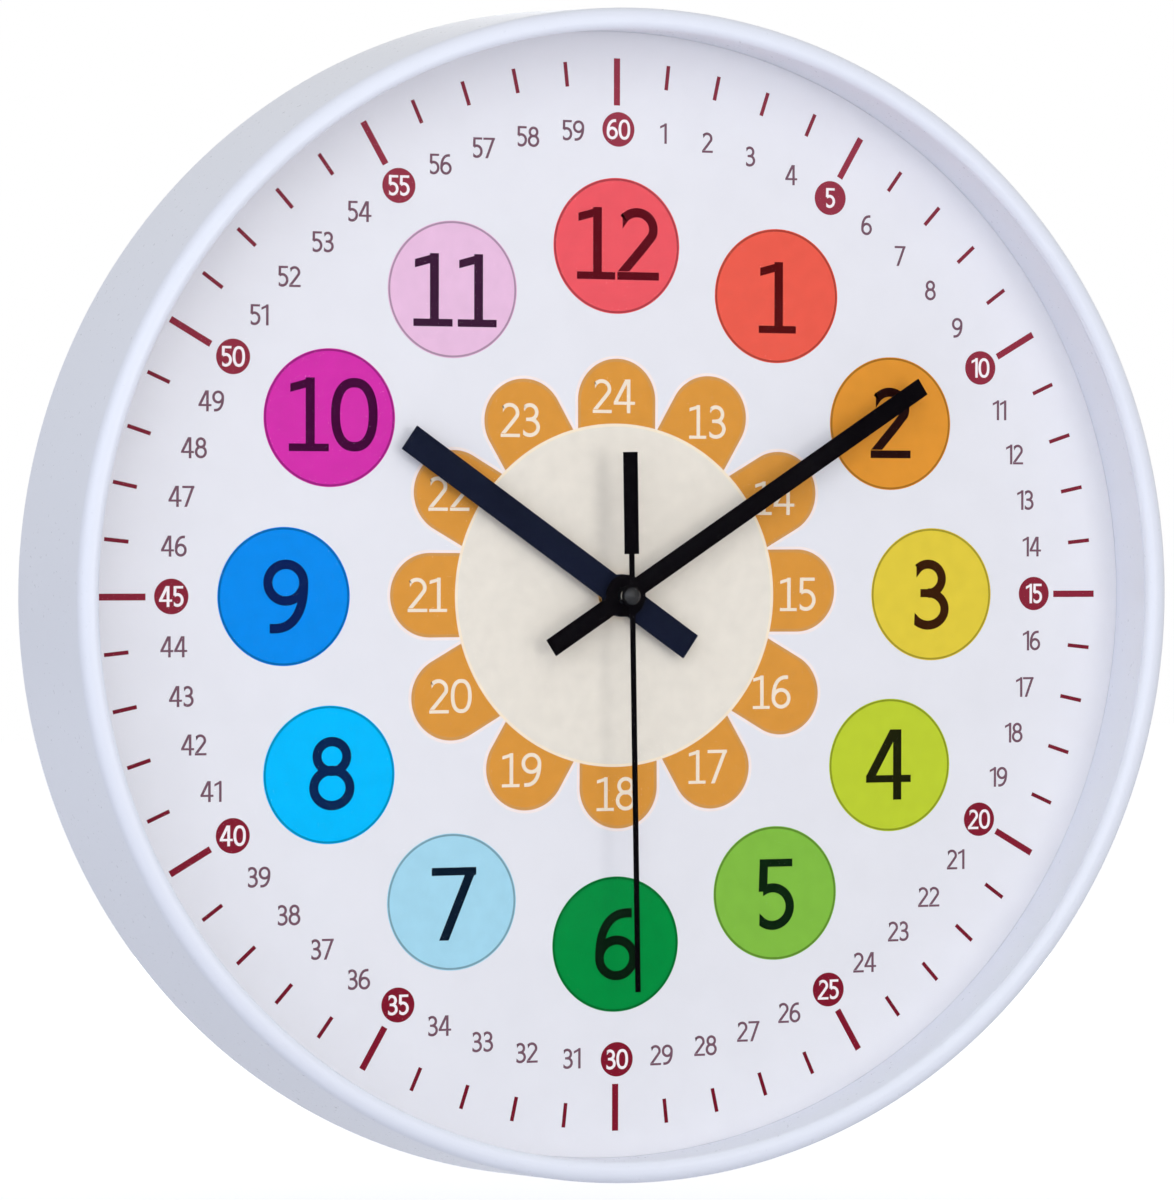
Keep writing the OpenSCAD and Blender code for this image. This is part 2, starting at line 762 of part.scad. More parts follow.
module hanger() {
    gusset_x = hanger_w / 2 - rail_reach - gusset_play - rail_t;
    color("#2b2b2e") stand() difference() {
        translate([0, 0, back_z]) {
            hanger_plate();
            translate([-hanger_w / 2, foot_y, 0]) cube([hanger_w, foot_t, foot_len]);
            for (x = [-gusset_x - rail_t, gusset_x]) translate([x, foot_y, 0]) rotate([90, 0, 90])
                linear_extrude(rail_t) polygon([
                    [0, over],
                    [foot_t + gusset_out, over],
                    [foot_t, foot_len],
                    [0, foot_len]]);
        }
        translate([-tooth_w / 2 - foot_play, foot_y - over, tooth_z - foot_play])
            cube([tooth_w + 2 * foot_play, foot_t + 2 * over, tooth_len + 2 * foot_play]);
    }
}

// The two rails that hold the foot, with the tooth that snaps into it
module hanger_rails() {
    rail_h = rail_top + rail_t - half + over;
    for (s = [0, 1]) mirror([s, 0, 0]) translate([hanger_w / 2 + foot_play, half - over, rail_z]) {
        cube([rail_t, rail_h, foot_len]);
        translate([-rail_reach, rail_h - rail_t, 0]) cube([rail_reach + over, rail_t, foot_len]);
    }
    translate([0, half, tooth_z]) rotate([90, 0, 90]) linear_extrude(tooth_w, center = true)
        polygon([[-over, 0], [0, 0], [foot_t * tooth_bite, tooth_len], [-over, tooth_len]]);
}

// Two clips at the top and one on each side hold the front housing: [side's direction, place along it]
module at_clips() for (c = [[0, clip_side_y], [90, -clip_spread], [90, clip_spread], [180, -clip_side_y]])
    rotate(c[0]) translate([in_half, c[1], lid_z - clip_drop]) children();

// Post with a thinner pin on top, which locates what rests on the post
module pinned_post(place, r, pin_r, seat, top) at(place, floor_z - over) {
    cylinder(r = r, h = seat - floor_z + over);
    cylinder(r = pin_r, h = top - floor_z + over);
}

module back_housing() {
    color("#2b2b2e") stand() difference() {
        union() {
            difference() {
                outline_slab(0, back_z, lid_z - back_z);
                outline_slab(-mv_wall, floor_z, mv_t);
            }
            intersection() {
                bay_block();
                outline_slab(0, back_z, mv_t);
            }
            for (p = post_spots) pinned_post(p, post_r, post_pin_r, middle_z, middle_top + pin_rise);
            for (p = core_spots) pinned_post(p, core_post_r, core_pin_r, stator_z, core_top_z + 0.3);
            for (p = [[0, 0], third_at, inter_at, rotor_at])
                at(p, floor_z - over) cylinder(r = pivot_boss_r, h = pivot_boss_h + over);
            hanger_rails();
        }
        bay_hollow();
        // pockets for the contact strips at both ends of the bay
        for (s = [-1, 1]) translate([s * (bay_in_half - 0.75) - 0.75, bay_y - bay_r, floor_z])
            cube([1.5, bay_r + bay_out_r + over, mv_t - 2 * mv_wall]);
        for (p = [[0, 0], third_at, inter_at, rotor_at])
            at(p, floor_z - 0.2) cylinder(r = pivot_r + run_gap, h = boss_top - floor_z + over);
        at(motion_at, back_z - over) cylinder(r = spindle_r + run_gap, h = mv_wall + 2 * over);
        at_clips() translate([-over, -clip_w / 2 - clip_play, clip_hold - clip_h - clip_play / 2])
            cube([mv_wall + 2 * over, clip_w + 2 * clip_play, clip_h + clip_play]);
    }
}

module front_housing() {
    color("#2b2b2e") stand() difference() {
        union() {
            intersection() {
                outline_slab(0, lid_z, mv_wall);
                translate([-bay_half, split_y + lip_in, lid_z]) cube([2 * bay_half, 2 * half, mv_wall]);
            }
            // lip that drops inside the rear housing
            intersection() {
                difference() {
                    outline_slab(-mv_wall - lip_in, lid_z - lip_h, lip_h + over);
                    outline_slab(-mv_wall - lip_in - lip_t, lid_z - lip_h - over, lip_h + over);
                }
                translate([-bay_half, bay_y + bay_out_r, lid_z - mv_t / 2])
                    cube([2 * bay_half, 2 * half, mv_t]);
            }
            at_clips() rotate([90, 0, 0]) linear_extrude(clip_w, center = true)
                polygon([
                    [-lip_in - clip_hold, clip_hold - clip_h],
                    [clip_reach, clip_hold - clip_play],
                    [clip_reach, clip_hold],
                    [-lip_in - clip_hold, clip_hold]]);
            for (p = post_spots) at(p, middle_top + 0.1)
                cylinder(r = post_r, h = lid_z - middle_top + over);
            at(third_at, centre_z + wheel_t + 0.5)
                cylinder(r = 1.2, h = lid_z - centre_z - wheel_t - 0.5 + over);
        }
        for (p = post_spots) at(p, middle_top - over)
            cylinder(r = post_pin_r + seat_gap, h = pin_rise + 2 * over);
        at(third_at, centre_z) cylinder(r = pivot_r + run_gap, h = wheel_t + 0.5 + 1.4);
        at(motion_at, lid_z - over) cylinder(r = pivot_r + run_gap, h = over + 0.8);
        translate([0, 0, lid_z - over]) cylinder(r = bush_r + seat_gap, h = mv_wall + 2 * over);
        translate([0, 0, lid_z - over]) cylinder(r = bush_foot_r + seat_gap, h = over + mv_wall / 2);
    }
}

module middle_plate() {
    left = rotor_at[0] - stator_r - plate_out;
    low = bay_y + bay_out_r + tail_play;
    color("#e8e4da") stand() difference() {
        intersection() {
            translate([left, low, middle_z]) cube([half - left, half - low, middle_t]);
            outline_slab(-mv_wall - plate_side, middle_z, middle_t);
        }
        for (p = post_spots) at(p, middle_z - over)
            cylinder(r = post_pin_r + seat_gap, h = middle_t + 2 * over);
        at([0, 0], middle_z - over) cylinder(r = arbor_r + run_gap, h = middle_t + 2 * over);
        at(third_at, middle_z - over) cylinder(r = third_hole_r, h = middle_t + 2 * over);
        at(motion_at, middle_z - over) cylinder(r = spindle_r + 0.3, h = middle_t + 2 * over);
        for (p = [inter_at, rotor_at]) at(p, middle_z - over)
            cylinder(r = pivot_r + run_gap, h = middle_t + 2 * over);
    }
}

module threaded_bush() {
    color("goldenrod") stand() difference() {
        union() {
            translate([0, 0, lid_z]) cylinder(r = bush_foot_r, h = mv_wall / 2);
            translate([0, 0, lid_z]) cylinder(r = bush_r, h = dial_z + bush_top - lid_z);
        }
        translate([0, 0, lid_z - over])
            cylinder(r = hour_tube_r + run_gap, h = dial_z + bush_top - lid_z + 2 * over);
    }
}

module rubber_gasket() {
    color("#1c1c1c") stand() translate([0, 0, front_z]) tube(gasket_r, bush_r + seat_gap, gasket_t);
}

module flat_washer() {
    color("goldenrod") stand() translate([0, 0, dial_z + 2 * ink_t])
        tube(washer_r, bush_r + seat_gap, washer_t);
}

module hex_nut() {
    color("goldenrod") stand() translate([0, 0, dial_z + 2 * ink_t + washer_t]) difference() {
        cylinder(r = nut_af / sqrt(3), h = nut_t, $fn = 6);
        translate([0, 0, -over]) cylinder(r = bush_r + seat_gap, h = nut_t + 2 * over);
    }
}

// Battery and its contacts

module aa_cell() {
    color("#8f9499") stand() translate([cell_left, bay_y, cell_z]) rotate([0, 90, 0]) difference() {
        union() {
            cylinder(r = cell_r, h = cell_len);
            cylinder(r = button_r, h = cell_len + button_len);
        }
        translate([0, 0, -over]) tube(cell_r - 1, cell_r - 2, over + 0.3);
    }
}

// A contact strip: a tongue bent out to the cell's end and a tail along the housing's wall, which comes
// down to the circuit board
module contact(reach) {
    foot_z = board_z + board_t + touch_play;
    top_z = cell_z + strip_w / 2;
    wall = bay_in_half - touch_play;
    low = bay_y - tongue_half;
    high = bay_y + tongue_half - tongue_step;
    back = wall - strip_t / 4;
    translate([0, 0, cell_z - strip_w / 2]) linear_extrude(strip_w) polygon([
        [wall, low],
        [wall, tail_low + over],
        [wall - strip_t, tail_low + over],
        [wall - strip_t, high],
        [reach, bay_y + tongue_tip],
        [reach, bay_y - tongue_tip],
        [wall - strip_t, low],
        [back, low],
        [reach + strip_t, bay_y - tongue_tip + strip_t / 4],
        [reach + strip_t, bay_y + tongue_tip - strip_t / 4],
        [back, high],
        [back, low + strip_t / 4]]);
    translate([wall - strip_t, tail_low, foot_z]) cube([strip_t, tail_len, top_z - foot_z]);
}

module contact_positive() color("silver") stand() contact(cell_right + contact_gap);

module contact_negative() color("silver") stand() mirror([1, 0, 0]) contact(-cell_left + contact_gap);

// Circuit and stepping motor

module circuit_board() {
    edge = in_half - board_side;
    column = coil_x + board_column;
    low = bay_y + bay_out_r + board_clear;
    color("#3f6b3a") stand() difference() {
        translate([0, 0, board_z]) linear_extrude(board_t) polygon([
            [-edge, low],
            [column, low],
            [column, board_low],
            [in_half - board_strip, board_low],
            [in_half - board_strip, low],
            [edge, low],
            [edge, board_high],
            [-edge, board_high]]);
        for (p = post_spots) at(p, board_z - over)
            cylinder(r = post_r + board_play, h = board_t + 2 * over);
        for (p = core_spots) at(p, board_z - over)
            cylinder(r = core_post_r + board_play, h = board_t + 2 * over);
    }
}

module chip_cap() {
    color("#111111") stand() translate([chip_x, part_row, board_z + board_t]) intersection() {
        cylinder(r = chip_r, h = chip_h);
        translate([0, 0, chip_h - chip_dome_r]) sphere(r = chip_dome_r);
    }
}

module quartz_crystal() {
    color("silver") stand() translate([crystal_x, part_row, board_z + board_t + crystal_r + touch_play])
        rotate([0, 90, 0]) cylinder(r = crystal_r, h = crystal_len);
}

// One leg of the stator, from the rotor's ring to the end of the coil's core
module stator_leg() {
    dx = coil_x - rotor_at[0];
    low = bobbin_len / 2 + leg_clear;
    top = core_reach + core_pin_out;
    polygon([
        [dx - leg_out, low],
        [dx - leg_out, top],
        [dx + leg_in, top],
        polar(stator_r, leg_from),
        polar(stator_r, leg_to),
        [dx + leg_in, low]]);
}

module stator() {
    color("#9a9da1") stand() difference() {
        at(rotor_at, stator_z) {
            cylinder(r = stator_r, h = stator_t);
            linear_extrude(stator_t) stator_leg();
            mirror([0, 1, 0]) linear_extrude(stator_t) stator_leg();
        }
        at(rotor_at, stator_z - over) cylinder(r = magnet_r + air_gap, h = stator_t + 2 * over);
        for (p = core_spots) at(p, stator_z - over)
            cylinder(r = core_pin_r + seat_gap, h = stator_t + 2 * over);
    }
}

// The iron strip inside the coil, which lies on the stator's legs
module coil_core() {
    length = 2 * (core_reach + core_end);
    color("#9a9da1") stand() difference() {
        translate([coil_x - core_w / 2, rotor_at[1] - length / 2, stator_z + stator_t])
            cube([core_w, length, stator_t]);
        for (p = core_spots) at(p, stator_z) cylinder(r = core_pin_r + seat_gap, h = 3 * stator_t);
    }
}

module along_coil() translate([coil_x, rotor_at[1] - bobbin_len / 2, coil_z]) rotate([-90, 0, 0]) children();

module coil_bobbin() {
    color("#d8d2c0") stand() along_coil() difference() {
        union() {
            cylinder(r = bobbin_r, h = bobbin_len);
            for (end = [0, bobbin_len - flange_t]) translate([0, 0, end])
                cylinder(r = coil_r + flange_lip, h = flange_t);
        }
        translate([-core_w / 2 - seat_gap, -stator_t / 2 - seat_gap, -over])
            cube([core_w + 2 * seat_gap, stator_t + 2 * seat_gap, bobbin_len + 2 * over]);
    }
}

module coil_winding() {
    end = flange_t + touch_play;
    color("#b5651d") stand() along_coil() translate([0, 0, end])
        tube(coil_r, bobbin_r + seat_gap, bobbin_len - 2 * end);
}

module rotor_magnet() {
    color("#5b5e63") stand() at(rotor_at, stator_mid - magnet_h / 2)
        tube(magnet_r, spindle_r + seat_gap, magnet_h);
}

module pivots(place, from, to) {
    at(place, from) cylinder(r = pivot_r, h = to - from);
}

module rotor_pinion() {
    color("#f2efe6") stand() {
        at(rotor_at, inter_z - leaf_over)
            pinion(pinion_leaves, inter_mod, wheel_t + 2 * leaf_over, rotor_angle + 180);
        at(rotor_at, inter_z) cylinder(r = spindle_r, h = middle_z - end_play - inter_z);
        pivots(rotor_at, floor_z, middle_top);
    }
}

// Going train

module intermediate_wheel() {
    color("#f2efe6") stand() {
        at(inter_at, inter_z)
            wheel(inter_teeth, inter_mod, wheel_t, rotor_angle + 180 / inter_teeth, 2.2, 4);
        at(inter_at, inter_z) pinion(pinion_leaves, seconds_mod,
            seconds_z + wheel_t + 3 * leaf_over - inter_z, inter_angle + 180);
        at(inter_at, inter_z) cylinder(r = spindle_r, h = middle_z - end_play - inter_z);
        pivots(inter_at, floor_z, middle_top);
    }
}

module seconds_wheel() {
    color("#f2efe6") stand() difference() {
        union() {
            at([0, 0], seconds_z)
                wheel(seconds_teeth, seconds_mod, wheel_t, inter_angle + 180 / seconds_teeth, 2, 5);
            at([0, 0], seconds_z)
                pinion(pinion_leaves, third_mod, third_z + wheel_t + leaf_over - seconds_z, third_angle);
        }
        at([0, 0], seconds_z - over)
            cylinder(r = arbor_r + seat_gap, h = third_z + wheel_t + leaf_over - seconds_z + 2 * over);
    }
}

module seconds_arbor() {
    color("silver") stand() {
        pivots([0, 0], floor_z, boss_top + 2 * end_play);
        at([0, 0], boss_top + end_play)
            cylinder(r = arbor_r, h = dial_z + second_h - boss_top - end_play);
    }
}

module third_wheel() {
    color("#f2efe6") stand() {
        at(third_at, third_z)
            wheel(third_teeth, third_mod, wheel_t, third_angle + 180 + 180 / third_teeth, 2.4, 5);
        at(third_at, third_z)
            pinion(pinion_leaves, centre_mod, centre_z + wheel_t + 2 * leaf_over - third_z,
                third_angle + 180);
        at(third_at, boss_top + end_play) cylinder(r = spindle_r, h = third_z - boss_top);
        pivots(third_at, floor_z, centre_z + wheel_t + 1.6);
    }
}

// The centre wheel grips the minute tube with friction only, so that the hands can be set
module centre_wheel() {
    color("#f2efe6") stand() difference() {
        union() {
            at([0, 0], centre_z)
                wheel(centre_teeth, centre_mod, wheel_t, third_angle + 180 / centre_teeth, 2.8, 5);
            at([0, 0], centre_z) cylinder(r = centre_hub_r, h = centre_hub_h);
        }
        at([0, 0], centre_z - over) cylinder(r = minute_tube_r + run_gap, h = centre_hub_h + 2 * over);
    }
}

// Motion work

module minute_tube() {
    top = dial_z + minute_h + hand_t + minute_rim_h;
    foot = middle_top + 0.1;
    color("#f2efe6") stand() difference() {
        union() {
            at([0, 0], foot) cylinder(r = minute_tube_r + 0.3, h = centre_z - 0.1 - foot);
            at([0, 0], foot) cylinder(r = minute_tube_r, h = top - foot);
            at([0, 0], minute_z - 0.2) pinion(cannon_leaves, minute_mod, wheel_t + 0.5, motion_angle);
        }
        at([0, 0], foot - over) cylinder(r = arbor_r + run_gap, h = top - foot + 2 * over);
    }
}

module minute_wheel() {
    color("#f2efe6") stand() {
        at(motion_at, minute_z)
            wheel(minute_teeth, minute_mod, wheel_t, motion_angle + 180 + 180 / minute_teeth, 2.8, 4);
        at(motion_at, minute_z)
            pinion(minute_leaves, hour_mod, lid_z - 0.15 - minute_z, motion_angle + 180);
        at(motion_at, knob_z) cylinder(r = spindle_r, h = minute_z + 0.1 - knob_z);
        pivots(motion_at, minute_z, lid_z + 0.6);
    }
}

module hour_wheel() {
    top = dial_z + hour_h + hand_t + hour_rim_h;
    color("#f2efe6") stand() difference() {
        union() {
            at([0, 0], hour_z) wheel(hour_teeth, hour_mod, 1, motion_angle + 180 / hour_teeth, 3.4, 5);
            at([0, 0], hour_z) cylinder(r = hour_tube_r, h = top - hour_z);
        }
        at([0, 0], hour_z - over) cylinder(r = minute_tube_r + run_gap, h = top - hour_z + 2 * over);
    }
}

module setting_knob() {
    grips = 20;
    grip_r = 0.6;
    grip_out = 0.25;
    color("#d9d9d6") stand() at(motion_at, knob_z) difference() {
        cylinder(r = knob_r, h = knob_h);
        for (i = [0:grips - 1]) rotate(i * 360 / grips) translate([knob_r + grip_out, 0, -over])
            cylinder(r = grip_r, h = knob_h + 2 * over);
        translate([0, 0, -over]) cylinder(r = spindle_r + seat_gap, h = knob_h + 2 * over);
    }
}

// Hands: flat bars with a round eye and a collet

module hand_bar(w, from, to, t) translate([-w / 2, from, 0]) cube([w, to - from, t]);

module pointing(angle, height) rotate(-angle) translate([0, 0, dial_z + height]) children();

// Turned collet riveted into a hand: a barrel behind, a neck through the hand and a rolled rim in front
module collet(bore, neck, barrel, barrel_h, rim_h) difference() {
    union() {
        translate([0, 0, -barrel_h]) cylinder(r = barrel, h = barrel_h);
        translate([0, 0, -over / 2]) cylinder(r = neck, h = hand_t + rim_h + over / 2);
        translate([0, 0, hand_t]) cylinder(r = neck + collet_lip, h = rim_h);
    }
    translate([0, 0, -barrel_h - over]) cylinder(r = bore, h = barrel_h + hand_t + rim_h + 2 * over);
}

module hour_hand() {
    color("#141416") stand() pointing(hour_angle, hour_h) difference() {
        union() {
            hand_bar(hour_w, -hour_tail, hour_len, hand_t);
            cylinder(r = hour_eye_r, h = hand_t);
        }
        translate([0, 0, -over]) cylinder(r = hour_tube_r + neck_t + seat_gap, h = hand_t + 2 * over);
    }
}

module hour_collet() color("#1d1d20") stand() pointing(hour_angle, hour_h)
    collet(hour_tube_r + seat_gap, hour_tube_r + neck_t, hour_tube_r + collet_t, hour_barrel_h, hour_rim_h);

module minute_hand() {
    color("#141416") stand() pointing(minute_angle, minute_h) difference() {
        union() {
            hand_bar(minute_w, -minute_tail, minute_len, hand_t);
            cylinder(r = minute_eye_r, h = hand_t);
        }
        translate([0, 0, -over]) cylinder(r = minute_tube_r + neck_t + seat_gap, h = hand_t + 2 * over);
    }
}

module minute_collet() color("#1d1d20") stand() pointing(minute_angle, minute_h)
    collet(minute_tube_r + seat_gap, minute_tube_r + neck_t, minute_tube_r + collet_t, minute_barrel_h,
        minute_rim_h);

module second_hand() {
    color("#141416") stand() pointing(second_angle, second_h) difference() {
        union() {
            hand_bar(second_w, -weight_start - over, second_len, second_t);
            hand_bar(weight_w, -weight_end, -weight_start, second_t);
            cylinder(r = second_eye_r, h = second_t);
        }
        translate([0, 0, -over]) cylinder(r = arbor_r + neck_t + seat_gap, h = second_t + 2 * over);
    }
}

// Bush of the second hand: a barrel behind, a neck through the hand and a domed cap in front
module second_hand_bush() {
    cap_r = second_eye_r - cap_inset;
    dome_r = (cap_r * cap_r + cap_h * cap_h) / (2 * cap_h);
    color("#1d1d20") stand() pointing(second_angle, second_h) difference() {
        union() {
            translate([0, 0, -second_barrel_h]) cylinder(r = arbor_r + collet_t, h = second_barrel_h);
            translate([0, 0, -over]) cylinder(r = arbor_r + neck_t, h = second_t + 2 * over);
            intersection() {
                translate([0, 0, second_t]) cylinder(r = cap_r, h = cap_h);
                translate([0, 0, second_t + cap_h - dome_r]) sphere(r = dome_r);
            }
        }
        translate([0, 0, -second_barrel_h - over])
            cylinder(r = arbor_r + seat_gap, h = second_barrel_h + over + second_t);
    }
}

case_ring();
lens();
dial_plate();
dial_sheet();
dial_screws();
back_housing();
front_housing();
hanger();
middle_plate();
threaded_bush();
rubber_gasket();
flat_washer();
hex_nut();
aa_cell();
contact_positive();
contact_negative();
circuit_board();
chip_cap();
quartz_crystal();
stator();
coil_core();
coil_bobbin();
coil_winding();
rotor_magnet();
rotor_pinion();
intermediate_wheel();
seconds_wheel();
seconds_arbor();
third_wheel();
centre_wheel();
minute_tube();
minute_wheel();
hour_wheel();
setting_knob();
hour_hand();
hour_collet();
minute_hand();
minute_collet();
second_hand();
second_hand_bush();
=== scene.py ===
"""Teaching wall clock: finishes, printed dial, studio and camera, built round the packed solid model."""

import math

import bpy
import numpy as np
from mathutils import Matrix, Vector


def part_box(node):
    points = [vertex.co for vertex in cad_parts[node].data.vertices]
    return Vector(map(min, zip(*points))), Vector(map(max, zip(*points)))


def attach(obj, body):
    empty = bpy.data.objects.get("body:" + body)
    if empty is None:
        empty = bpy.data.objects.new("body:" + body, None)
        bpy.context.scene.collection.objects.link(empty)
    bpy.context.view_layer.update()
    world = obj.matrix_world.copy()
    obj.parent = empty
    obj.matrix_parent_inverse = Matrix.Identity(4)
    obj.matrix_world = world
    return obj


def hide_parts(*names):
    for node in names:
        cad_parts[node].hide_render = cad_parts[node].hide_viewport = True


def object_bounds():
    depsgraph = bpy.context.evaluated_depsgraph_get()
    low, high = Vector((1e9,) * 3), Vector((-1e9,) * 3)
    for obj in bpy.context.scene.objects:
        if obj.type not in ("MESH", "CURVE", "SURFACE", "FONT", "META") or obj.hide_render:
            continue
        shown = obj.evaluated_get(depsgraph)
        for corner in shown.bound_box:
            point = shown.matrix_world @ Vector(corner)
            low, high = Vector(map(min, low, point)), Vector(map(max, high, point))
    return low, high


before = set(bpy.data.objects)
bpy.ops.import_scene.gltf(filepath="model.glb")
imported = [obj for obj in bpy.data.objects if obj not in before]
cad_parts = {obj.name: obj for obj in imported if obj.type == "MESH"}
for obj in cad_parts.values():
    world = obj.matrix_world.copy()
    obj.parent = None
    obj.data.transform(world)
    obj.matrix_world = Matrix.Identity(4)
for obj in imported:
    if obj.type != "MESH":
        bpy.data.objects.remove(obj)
CAD_BOX = [list(corner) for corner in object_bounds()]

bl_info = {
    "name": "Teaching wall clock",
    "version": (1, 0, 0),
    "blender": (4, 5, 0),
    "location": "View3D > Sidebar > Wall clock",
    "description": "Prints the dial and finishes the plastics, metals and hands of a teaching wall clock",
    "category": "Object",
}

MM = 0.001
SHEET_LOW, SHEET_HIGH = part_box("dial_sheet")
DIAL_X = (SHEET_LOW.x + SHEET_HIGH.x) / 2
DIAL_Z = (SHEET_LOW.z + SHEET_HIGH.z) / 2
# Heights of the print's layers above the paper, in millimetres. A hair keeps two layers apart
HAIR = 0.01
INK_FOOT = -0.02
MINUTE_INK = 0.01
INK_HEIGHT = 0.03
EDGE_RISE = 0.004
PETAL_STEP = 0.002
NUMERAL_RISE = 0.015
STROKE_STEP = 0.003
CREAM_HEIGHT = 0.08
PAPER_FACE = SHEET_LOW.y + CREAM_HEIGHT * MM
PAPER_BACK = (SHEET_HIGH.y - PAPER_FACE) / MM


# Colour and node helpers


def linear(code):
    """Turns an sRGB hex value into linear red, green and blue."""
    values = [int(code[i : i + 2], 16) / 255 for i in (1, 3, 5)]
    return tuple(v / 12.92 if v <= 0.04045 else ((v + 0.055) / 1.055) ** 2.4 for v in values)


def opaque(colour):
    """Adds a full alpha to a colour."""
    return (*tuple(colour)[:3], 1.0)


def shade(colour, factor):
    """A lighter or darker copy of a colour."""
    return tuple(min(1.0, c * factor) for c in tuple(colour)[:3])


def add_node(tree, kind, inputs=None, **settings):
    """Adds one node and sets its properties. Each input takes a value, or a link from an output or node."""
    node = tree.nodes.new(kind)
    for key, value in settings.items():
        setattr(node, key, value)
    for key, value in (inputs or {}).items():
        if isinstance(value, bpy.types.Node):
            value = value.outputs[0]
        if isinstance(value, bpy.types.NodeSocket):
            tree.links.new(value, node.inputs[key])
        else:
            node.inputs[key].default_value = value
    return node


def start_material(name):
    """An empty node material, with its tree and its Object coordinates."""
    material = bpy.data.materials.new(name)
    material.use_nodes = True
    tree = material.node_tree
    tree.nodes.clear()
    return material, tree, add_node(tree, "ShaderNodeTexCoord").outputs["Object"]


def end_material(tree, shader):
    """Links the shader to the material's output."""
    add_node(tree, "ShaderNodeOutputMaterial", {"Surface": shader})


# Shapes: each works in millimetres on the dial, with x to the right, z up and height towards the viewer


def slab(outline, low, high):
    """A flat plate: an outline carried straight from the low height to the high one, closed at both.

    Point (u, v) of its wall is outline(u) at height low + v (high - low), with v from 0 to 1."""
    outline = np.asarray(outline, float)
    count = len(outline)
    points = np.vstack([np.column_stack([outline, np.full(count, h)]) for h in (low, high)])
    here = np.arange(count)
    ahead = np.roll(here, -1)
    walls = np.column_stack([here, ahead, ahead + count, here + count]).tolist()
    return points, walls + [(here + count).tolist(), here[::-1].tolist()]


def reached(path, half, caps, cuts):
    """The path with each capped end moved outwards until its cut lies half a stroke further out."""
    path = np.array(path, float)
    for end, inner, cap, cut in zip((0, -1), (1, -2), caps, cuts):
        if cap:
            out = path[end] - path[inner]
            out /= np.linalg.norm(out)
            square = 1.0 if cut is None else abs(out[1] * cut[0] - out[0] * cut[1])
            path[end] += out * half / square
    return path


def ribbon(path, width, low, high, closed=False, cuts=(None, None)):
    """A flat stroke: a rectangle carried along a path.

    At point i its edges are path(i) +- side(i) width / 2, where side(i) is square to the mean of the
    directions before and after i and is lengthened by the mitre. An end with a cut is cut along that
    direction."""
    path = np.asarray(path, float)
    if closed:
        ahead, behind = np.roll(path, -1, 0) - path, path - np.roll(path, 1, 0)
    else:
        steps = np.diff(path, axis=0)
        ahead, behind = np.vstack([steps, steps[-1:]]), np.vstack([steps[:1], steps])
    ahead = ahead / np.linalg.norm(ahead, axis=1, keepdims=True)
    behind = behind / np.linalg.norm(behind, axis=1, keepdims=True)
    along = ahead + behind
    along = along / np.linalg.norm(along, axis=1, keepdims=True)
    side = np.column_stack([-along[:, 1], along[:, 0]])
    half = side * (width / 2) / np.clip((along * ahead).sum(1), 0.4, 1)[:, None]
    for end, cut in zip((0, -1), cuts):
        if cut is not None:
            cut = np.asarray(cut, float)
            half[end] = cut * (width / 2) / (cut @ side[end])
    count = len(path)
    corners = [(path + half, low), (path + half, high), (path - half, high), (path - half, low)]
    rings = [np.column_stack([edge, np.full(count, height)]) for edge, height in corners]
    points = np.stack(rings, 1).reshape(-1, 3)
    here = np.arange(count if closed else count - 1)
    there = (here + 1) % count
    faces = []
    for k in range(4):
        n = (k + 1) % 4
        quads = [here * 4 + n, there * 4 + n, there * 4 + k, here * 4 + k]
        faces += np.column_stack(quads).tolist()
    if not closed:
        last = (count - 1) * 4
        faces += [[3, 2, 1, 0], [last, last + 1, last + 2, last + 3]]
    return points, faces


def revolve(profile, count):
    """A closed ring: the closed profile (radius, height) turned once about the dial's axis.

    Point (u, v) is (r(v) cos u, r(v) sin u, h(v)), with the profile running counter-clockwise."""
    profile = np.asarray(profile, float)
    turn = np.linspace(0, 2 * math.pi, count, endpoint=False)[:, None]
    radius, height = profile[:, 0], profile[:, 1]
    points = np.stack([radius * np.cos(turn), radius * np.sin(turn), height + 0 * turn], -1).reshape(-1, 3)
    u, v = np.meshgrid(np.arange(count), np.arange(len(profile)), indexing="ij")
    next_u, next_v = (u + 1) % count, (v + 1) % len(profile)
    corners = [(u, v), (next_u, v), (next_u, next_v), (u, next_v)]
    faces = np.stack([(a * len(profile) + b).ravel() for a, b in corners], 1)
    return points, faces.tolist()


def straight(start, end, margin=0.25):
    """A straight stretch of a profile, with points close to its ends so that its shading stays flat."""
    start, end = np.array(start, float), np.array(end, float)
    share = min(0.45, margin / np.linalg.norm(end - start))
    return start + (end - start) * np.array([[0], [share], [1 - share], [1]])


def circle(radius, count=128, centre=(0, 0)):
    """Points on a circle, counter-clockwise as the viewer sees it."""
    turn = np.linspace(0, 2 * math.pi, count, endpoint=False)
    return np.column_stack([centre[0] + radius * np.cos(turn), centre[1] + radius * np.sin(turn)])


def bow(centre, radii, start, end, count=26, power=1.0):
    """Part of an ellipse from one angle to another: centre + radii (cos t, sin t), squared up by power."""
    turn = np.radians(np.linspace(start, end, count))
    cos, sin = np.cos(turn), np.sin(turn)
    x = centre[0] + radii[0] * np.sign(cos) * np.abs(cos) ** power
    return np.column_stack([x, centre[1] + radii[1] * np.sign(sin) * np.abs(sin) ** power])


def loop(centre, radii, count=44, power=1.0):
    """A whole ellipse as a closed path."""
    return bow(centre, radii, 0, 360, count + 1, power)[:-1]


def clockwise(hour_angle, radius):
    """The dial point at an angle counted clockwise from 12, and a radius."""
    turn = math.radians(hour_angle)
    return np.array([radius * math.sin(turn), radius * math.cos(turn)])


